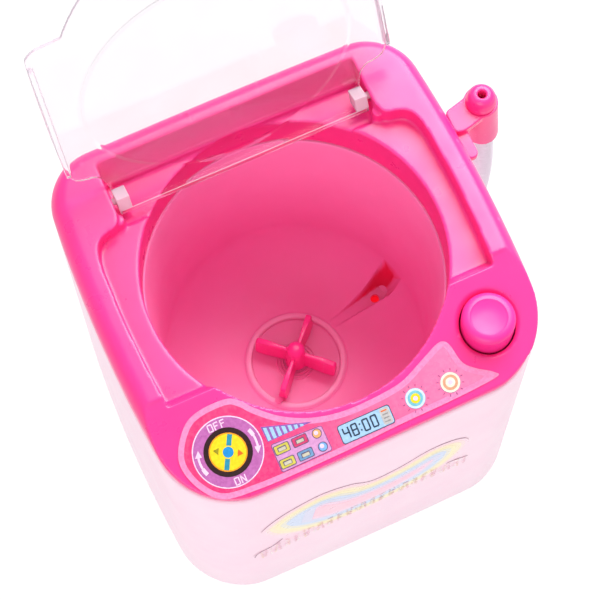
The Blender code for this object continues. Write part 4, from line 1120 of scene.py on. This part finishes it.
def display_shapes(inks):
    """Pale display with a generic time of day in seven-segment figures."""
    w, h = DISPLAY_HALF
    shapes = [(rounded_rect(DISPLAY, w + 0.25, h + 0.25, 0.8), 2, inks["key_line"], INK_T),
              (rounded_rect(DISPLAY, w, h, 0.65), 3, inks["ice"], INK_T),
              (rounded_rect((DISPLAY.x + w - 1.35, DISPLAY.y), 1.15, h - 0.15, 0.5), 4,
               inks["grey"], INK_T)]
    unit = 0.62
    seg = {"a": [(-1, 2), (1, 2)], "b": [(1, 2), (1, 0)], "c": [(1, 0), (1, -2)],
           "d": [(-1, -2), (1, -2)], "e": [(-1, 0), (-1, -2)], "f": [(-1, 2), (-1, 0)],
           "g": [(-1, 0), (1, 0)]}
    for figure, x in (("4", -4.9), ("8", -2.85), ("0", 0.0), ("0", 2.1)):
        for key in SEGMENTS[figure]:
            ends = [(DISPLAY.x + x + a * unit, DISPLAY.y + b * unit * 1.05) for a, b in seg[key]]
            shapes.append((stroke(ends, 0.34), 5, inks["figures"], INK_T))
    for rise in (-0.7, 0.7):
        dot = (DISPLAY.x - 1.42, DISPLAY.y + rise)
        shapes.append((rounded_rect(dot, 0.18, 0.18, 0.05), 5, inks["figures"], INK_T))
    for row in range(4):
        line = [(DISPLAY.x + w - inset, DISPLAY.y + 1.3 - row * 0.85) for inset in (2.1, 0.7)]
        shapes.append((stroke(line, 0.3), 5, inks["grey_dark" if row else "orange"], INK_T))
    return shapes


def knob_shapes(inks):
    """Two printed knobs, each with a ring of tick marks."""
    shapes = []
    colors = (("ice_white", "teal_pale", "yellow"), ("cream", "tan", "cream"))
    for center, (rim, mid, core) in zip(KNOBS, colors):
        for i in range(12):
            ends = [polar(center, 2.75, 30 * i + 8), polar(center, 3.3, 30 * i + 8)]
            shapes.append((stroke(ends, 0.22), 2, inks["mauve_edge"], INK_T))
        shapes += [(circle(center, 2.5, 48), 2, inks["tick"], INK_T),
                   (circle(center, 2.35, 48), 3, inks[rim], INK_T),
                   (circle(center, 1.8, 48), 4, inks[mid], INK_T),
                   (circle(center, 1.15, 36), 5, inks[core], INK_T),
                   (circle(center, 0.55, 24), 6, inks["film_white"], INK_T)]
    return shapes


def build_label():
    colors = {
        "border": (252, 136, 184), "film_white": (238, 202, 227), "mauve": (182, 100, 168),
        "dark": (44, 6, 16), "amber": (236, 150, 20), "yellow": (242, 208, 22), "teal": (40, 140, 165),
        "olive": (150, 140, 20), "orange": (226, 104, 20), "azure": (20, 140, 205),
        "mauve_edge": (150, 84, 140), "lilac": (206, 148, 196), "plum": (140, 92, 170),
        "ice": (160, 196, 228),
        "olive_key": (202, 190, 84), "red_key": (206, 60, 110), "blue_key": (110, 150, 190),
        "key_line": (96, 84, 116), "key_face": (196, 190, 170), "lamp_orange": (240, 170, 110),
        "lamp_blue": (120, 170, 225), "grey": (190, 186, 186), "grey_dark": (150, 146, 146),
        "figures": (44, 62, 84), "ice_white": (202, 216, 241), "cream": (250, 226, 208),
        "teal_pale": (120, 190, 205), "tan": (218, 160, 130), "tick": (170, 130, 170),
    }
    inks = {key: ink(f"ink_{key}", value) for key, value in colors.items()}
    # hot pink print that lightens toward the right: the pale right side is a painted reflection of the
    # panel's broad highlight
    ground_and_reflection = ramp_ink("ink_ground_and_reflection", (252, 44, 110), (255, 118, 164), -24.0, 26.0)
    edge = [tuple(p) for p in spline(LABEL_OUTLINE, 6)]
    shapes = [(edge, 0, inks["border"], FILM_T)]
    lift = round(FILM_T / INK_T)
    art = [(inset_shape(edge, 1.35), 0, ground_and_reflection, INK_T)]
    art += dial_shapes(inks) + keypad_shapes(inks) + display_shapes(inks) + knob_shapes(inks)
    shapes += [(points, level + lift, material, thick) for points, level, material, thick in art]
    label = printed("control_label_print", shapes, on_panel)
    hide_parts("control_label")
    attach(label, "chassis")


def build_emblem():
    """Pastel heart and ribbon printed on the front, with a painted shadow line along the heart's top
    edge; dots stand where the toy has a name.
    """
    dark = ink("ink_heart_line_and_shadow", (176, 122, 146))
    edge = [tuple(p) for p in spline(HEART, 6)]
    # painted shadow: a dark copy of the heart outline, raised 0.42 mm, shows as a shadow line along the
    # heart's top edge
    shapes = [([(x, z + 0.42) for x, z in edge], 1, dark, INK_T)]
    bands = ((0.0, (253, 212, 226)), (1.0, (254, 216, 216)), (2.0, (250, 228, 192)),
             (3.4, (246, 232, 184)), (4.8, (230, 224, 208)), (6.2, (202, 214, 240)),
             (7.8, (214, 212, 236)), (9.4, (244, 204, 226)), (11.0, (254, 196, 214)))
    for level, (step, rgb) in enumerate(bands):
        shapes.append((deep_inset(edge, step) if step else edge, level + 2,
                       ink(f"ink_heart_{level}", rgb, tuple(min(255, c + 8) for c in rgb)), INK_T))
    top = len(bands) + 2
    for line in (((-32.8, 34.4), (-32.2, 36.6), (-30.6, 38.0), (-27.6, 39.2), (-25.0, 42.4)),
                 ((19.5, 44.6), (23.0, 44.0), (26.8, 42.2))):
        path = [tuple(p) for p in spline(line, 5, closed=False)]
        shapes.append((stroke(path, 0.36), 1, dark, INK_T))
    specks = [ink("ink_speck_peach", (248, 212, 198)), ink("ink_speck_rose", (244, 192, 206)),
              ink("ink_speck_white", (255, 240, 240))]
    columns = 44
    for row in range(5):
        for column in range(columns):
            t = column / (columns - 1)
            wobble = sin(12.9 * row + 78.2 * column)
            x = -31.0 + 56.5 * t + 0.35 * wobble
            z = 37.2 + 6.2 * t + 3.6 * sin(pi * t) - row * 1.5 + 0.45 * cos(37.7 * column + 11.0 * row)
            size = 0.34 + 0.14 * sin(5.1 * column + 3.0 * row)
            shapes.append((circle((x, z), size, 8), top, specks[(column * 7 + row * 3) % 3], INK_T))
    emblem = printed("front_emblem_print", shapes, on_front, strip=3.0)
    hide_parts("front_emblem")
    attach(emblem, "chassis")


# ---------------------------------------------------------------- lid
def lid_plan():
    """Closed-lid plan: a tongue over the tub in front, S-shaped notches at the hinge."""
    w = LID_HALF_W
    right = [Vector((0.0, HOLE_Y - LID_TONGUE_R))]
    steps = 30
    for i in range(1, steps + 1):
        a = radians(-90.0 + 58.0 * i / steps)
        right.append(Vector((LID_TONGUE_R * cos(a), HOLE_Y + LID_TONGUE_R * sin(a))))
    right += spline([(w - 3.0, LID_FRONT_Y - 0.9), (w - 0.9, LID_FRONT_Y + 0.3), (w, LID_FRONT_Y + 3.0),
                     (w + 0.2, 2.0), (w, 14.0), (w - 0.4, 19.2), (w - 2.0, 22.0), (w - 4.4, 22.9),
                     (w - 6.4, 23.3), (w - 8.0, 25.0), (LID_TAB_HALF_W, 28.2)], 6, closed=False)
    left = [Vector((-p.x, p.y)) for p in reversed(right[1:])]
    return [tuple(p) for p in right + left]


def oval(scale, steps=160):
    """Plan points of the lid's oval panel, grown or shrunk by a factor."""
    a, b = OVAL_HALF
    return [(a * scale * cos(2 * pi * i / steps), OVAL_CENTER_Y + b * scale * sin(2 * pi * i / steps))
            for i in range(steps)]


def build_lid():
    """Clear lid, made closed and flat, then turned to its open rest position."""
    plate = prism("clear_lid", lid_plan(), LID_TOP - LID_T, LID_TOP)
    heights = ((1.0, LID_TOP - 0.3), (1.0, LID_TOP - 0.001), (0.985, LID_TOP + OVAL_STEP))
    raised = loft("oval_raise", [[(x, y, z) for x, y in oval(s)] for s, z in heights])
    sunk = loft("oval_sink", [[(x, y, z) for x, y in oval(s)] for s, z in
                              ((0.985, LID_TOP - LID_T - 1.0), (0.985, LID_TOP - LID_T),
                               (0.97, LID_TOP - LID_T + OVAL_STEP))])
    extras = [raised]
    for side in (-1, 1):
        x0, x1 = sorted((side * (LID_HALF_W - 0.05), side * (LID_HALF_W - 1.15)))
        extras.append(box(f"lid_skirt_{side}", (x0, LID_FRONT_Y + 3.0, LID_SKIRT_Z),
                          (x1, LID_SKIRT_END_Y, LID_TOP - 0.4)))
    lip = fillet([(28.0, LID_TOP - 0.01), (30.0, LID_TOP - 0.15), (32.2, 104.6), (33.6, 102.9),
                  (34.1, 100.8), (33.0, 100.7), (32.5, 102.4), (31.4, 103.7), (29.8, 104.3),
                  (28.0, LID_TOP - LID_T + 0.01)], 0.8, 3)
    extras.append(side_prism("lid_lip", lip, -LID_TAB_HALF_W + 0.02, LID_TAB_HALF_W - 0.02))
    add(plate, *extras)
    cut(plate, sunk)
    moulded(plate, 0.22, 3)
    plate.data.materials.clear()
    plate.data.materials.append(MATS["clear"])
    plate.data.materials.append(MATS["edge"])
    plate.data.materials.append(MATS["lip"])
    for face in plate.data.polygons:
        x, y, z = face.center / MM
        on_lip = y > LIP_Y and abs(x) < LID_TAB_HALF_W - 0.5 and z > LIP_EDGE_Z
        if on_lip:
            face.material_index = 2
        elif abs(face.normal.z) < 0.75:
            face.material_index = 1

    blocks = []
    b = HINGE_BLOCK
    for side in (-1, 1):
        x0, x1 = sorted((side * (LID_TAB_HALF_W - 3.2), side * (LID_TAB_HALF_W + 0.05)))
        block = box(f"hinge_block_{'left' if side < 0 else 'right'}", (x0, HINGE.y - b, HINGE.z - b),
                    (x1, HINGE.y + b, HINGE.z + b))
        pin = tube(f"pin_{side}", ((side * (LID_TAB_HALF_W - 1.0), HINGE.y, HINGE.z),
                                   (side * LID_PIN_END, HINGE.y, HINGE.z)), LID_PIN_R)
        add(block, pin)
        moulded(block, 0.16, 4)
        block.data.materials.clear()
        block.data.materials.append(MATS["frost"])
        blocks.append(block)
    pivot = HINGE * MM
    open_turn = (Matrix.Translation(pivot) @ Matrix.Rotation(-radians(90.0 + LID_LEAN), 4, "X")
                 @ Matrix.Translation(-pivot))
    for piece in (plate, *blocks):
        piece.data.transform(open_turn)
        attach(piece, "lid_body")
    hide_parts("lid")


# ---------------------------------------------------------------- drain
def spigot_route():
    """Centreline of the swivelling outlet elbow: out of the wall, then straight up."""
    bend = SPIGOT_TOP[0] - SPIGOT_BEND_R
    route = [(SPIGOT_X, OUTLET_Y, OUTLET_Z)]
    steps = 14
    for i in range(steps + 1):
        a = pi / 2 * i / steps
        route.append((bend + SPIGOT_BEND_R * sin(a), OUTLET_Y, OUTLET_Z + SPIGOT_BEND_R * (1 - cos(a))))
    return route + [SPIGOT_TOP]


def build_elbow():
    """Hollow drain pipe under the tub floor, with a painted glow: a faint red emission that shows
    through the hole.
    """
    x, y = DRAIN
    route = spline([(x, y, FLOOR_UNDER - 0.3), (x, y, 17.0), (x, y, 15.0), (x + 0.6, y + 0.3, 12.4),
                    (x + 2.4, y + 1.2, 10.6), (x + 5.0, y + 3.0, OUTLET_Z), (38.0, 15.4, OUTLET_Z),
                    (41.5, 18.2, OUTLET_Z), (44.5, OUTLET_Y, OUTLET_Z),
                    (SPIGOT_X - 0.3, OUTLET_Y, OUTLET_Z)],
                   5, closed=False)
    elbow = pipe("drain_pipe", route, PIPE_R, PIPE_R - 1.0, MATS["glow_red"])
    shade(elbow, 40.0)
    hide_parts("drain_elbow")
    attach(elbow, "chassis")


def build_hose():
    """Corrugated translucent hose from the outlet elbow up into the nozzle."""
    centre = spline(HOSE_ROUTE, 30, closed=False)
    path = []
    radii = []
    run = 0.0
    for i, p in enumerate(centre):
        run += (p - centre[i - 1]).length if i else 0.0
        path.append(p)
        ridge = 0.5 - 0.5 * cos(2 * pi * run / HOSE_PITCH)
        radii.append(HOSE_R - HOSE_GROOVE * ridge ** 2)
    hose = tube("drain_hose_corrugated", path, radii, MATS["hose"], sides=40)
    shade(hose, 60.0)
    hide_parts("drain_hose")
    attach(hose, "drain_line")


def build_nozzle():
    nozzle = tube("hose_nozzle", (NOZZLE_FOOT, NOZZLE_TOP), NOZZLE_R, sides=80, turn=Matrix.Identity(3))
    arm = fillet([(48.9, 20.6), (54.4, 22.0), (58.0, 23.4), (60.0, 16.5), (55.6, 15.2), (51.4, 14.2),
                  (48.9, 14.6)], 1.2)
    finger = fillet([(49.1, 15.5), (49.1, 8.6), (49.8, 7.6), (51.4, 7.6), (52.1, 8.6),
                     (52.1, 15.5)], 0.8)
    add(nozzle, prism("nozzle_arm", arm, 97.2, NOZZLE_TOP[2] - 0.05),
        box("nozzle_drop", (49.1, 13.0, 96.0), (52.2, 16.0, 97.6)),
        prism("nozzle_finger", finger, 96.05, 97.9))
    axis = Vector(NOZZLE_TOP) - Vector(NOZZLE_FOOT)
    foot = Vector(NOZZLE_FOOT)
    cut(nozzle, tube("hose_socket", (foot - axis * 0.1, foot + axis * 0.75), NOZZLE_BORE_R),
        tube("nozzle_bore", (foot + axis * 0.5, foot + axis * 1.2), 1.3))
    moulded(nozzle, 0.2, 3)

    x, y, seat = NOZZLE_TOP
    z = seat + 0.1
    profile = [(TIP_HOLE_R, z), (3.75, z), (3.75, z + 0.5), (3.62, z + 1.7), (3.3, z + 2.8),
               (2.75, z + 3.65), (2.1, z + 4.1), (1.4, z + 4.2), (TIP_HOLE_R, z + 4.0)]
    tip = lathe("hose_nozzle_tip", profile, (x, y, 0.0), sides=80)
    moulded(tip, 0.14, 3)

    spigot = tube("outlet_elbow", spigot_route(), HOSE_R - 0.1)
    add(spigot, rod("spigot_collar", SPIGOT_TOP[:2], HOSE_R + 0.7, SPIGOT_TOP[2] - 1.6, SPIGOT_TOP[2]),
        tube("spigot_flange", ((SPIGOT_X, OUTLET_Y, OUTLET_Z), (SPIGOT_X + 1.2, OUTLET_Y, OUTLET_Z)),
             HOSE_R + 1.3))
    moulded(spigot, 0.2, 3)
    for piece, stands_for in ((nozzle, "drain_nozzle"), (tip, "nozzle_tip"), (spigot, "outlet_spigot")):
        piece.data.materials.clear()
        piece.data.materials.append(MATS["deck"])
        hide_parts(stands_for)
        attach(piece, "drain_line")


# ---------------------------------------------------------------- carried-over parts
def dress_cad_nodes():
    """Give every CAD node that still shows the material of its slot."""
    for name, obj in NODES.items():
        if obj.hide_render:
            continue
        key = SLOT_MATS.get(SLOT_OF[name])
        if key:
            obj.data.materials.clear()
            obj.data.materials.append(MATS[key])


# ---------------------------------------------------------------- studio
def build_studio():
    """Plain pale floor, soft overhead light and the camera."""
    mesh = bpy.data.meshes.new("studio_floor")
    half = 3.0
    z = -0.0002
    mesh.from_pydata([(-half, -half, z), (half, -half, z), (half, half, z), (-half, half, z)], [],
                     [(0, 1, 2, 3)])
    made, tree, shader, where = start_material("studio_white")
    grain = spread(tree, noise(tree, where, 6.0, 3.0), 0.3, 0.7, 0.0, 1.0)
    tree.links.new(blend_color(tree, grain, linear((66, 66, 66)), linear((60, 60, 60))),
                   shader.inputs["Base Color"])
    shader.inputs["Roughness"].default_value = 0.7
    shader.inputs["Emission Color"].default_value = (1.0, 1.0, 1.0, 1.0)
    shader.inputs["Emission Strength"].default_value = 0.97
    link("studio_floor", mesh, made)

    world = bpy.data.worlds.new("studio")
    bpy.context.scene.world = world
    world.use_nodes = True
    sky = world.node_tree.nodes["Background"]
    sky.inputs["Color"].default_value = (1.0, 0.985, 0.99, 1.0)
    sky.inputs["Strength"].default_value = WORLD_STRENGTH

    for name, place, size, power in LIGHTS:
        lamp = bpy.data.lights.new(name, "AREA")
        lamp.shape = "DISK"
        lamp.size = size
        lamp.energy = power
        obj = bpy.data.objects.new(name, lamp)
        bpy.context.scene.collection.objects.link(obj)
        obj.location = place
        aim = Vector((0.0, 0.0, 0.07)) - Vector(place)
        obj.rotation_euler = aim.to_track_quat("-Z", "Y").to_euler()

    camera = bpy.data.cameras.new("camera")
    camera.sensor_width = 36.0
    camera.lens = CAMERA_LENS
    camera.shift_x = CAMERA_SHIFT[0]
    camera.shift_y = CAMERA_SHIFT[1]
    camera.clip_start = 0.01
    obj = bpy.data.objects.new("camera", camera)
    bpy.context.scene.collection.objects.link(obj)
    a = radians(CAMERA_AZIMUTH)
    e = radians(CAMERA_ELEVATION)
    look = Vector((sin(a) * cos(e), cos(a) * cos(e), -sin(e)))
    right = Vector((cos(a), -sin(a), 0.0))
    up = right.cross(look)
    basis = Matrix((right, up, -look)).transposed().to_4x4()
    obj.matrix_world = Matrix.Translation(CAMERA_PLACE * MM) @ basis
    bpy.context.scene.camera = obj
    bpy.context.scene.view_settings.view_transform = "Standard"


CAMERA_PLACE = Vector((-68.0, -155.4, 565.05))
CAMERA_AZIMUTH = 24.65
CAMERA_ELEVATION = 70.43
CAMERA_LENS = 126.8
CAMERA_SHIFT = (-0.0137, -0.031)
WORLD_STRENGTH = 0.62
LIGHTS = (
    ("key", (0.50, 0.50, 0.92), 1.0, 19.0),
    ("fill", (-0.55, -0.75, 0.75), 0.8, 4.0),
)

build_studio()
build_housing()
build_cover()
build_tub()
build_pulsator()
build_button()
build_label()
build_emblem()
build_lid()
build_elbow()
build_nozzle()
build_hose()
dress_cad_nodes()

bpy.context.view_layer.update()
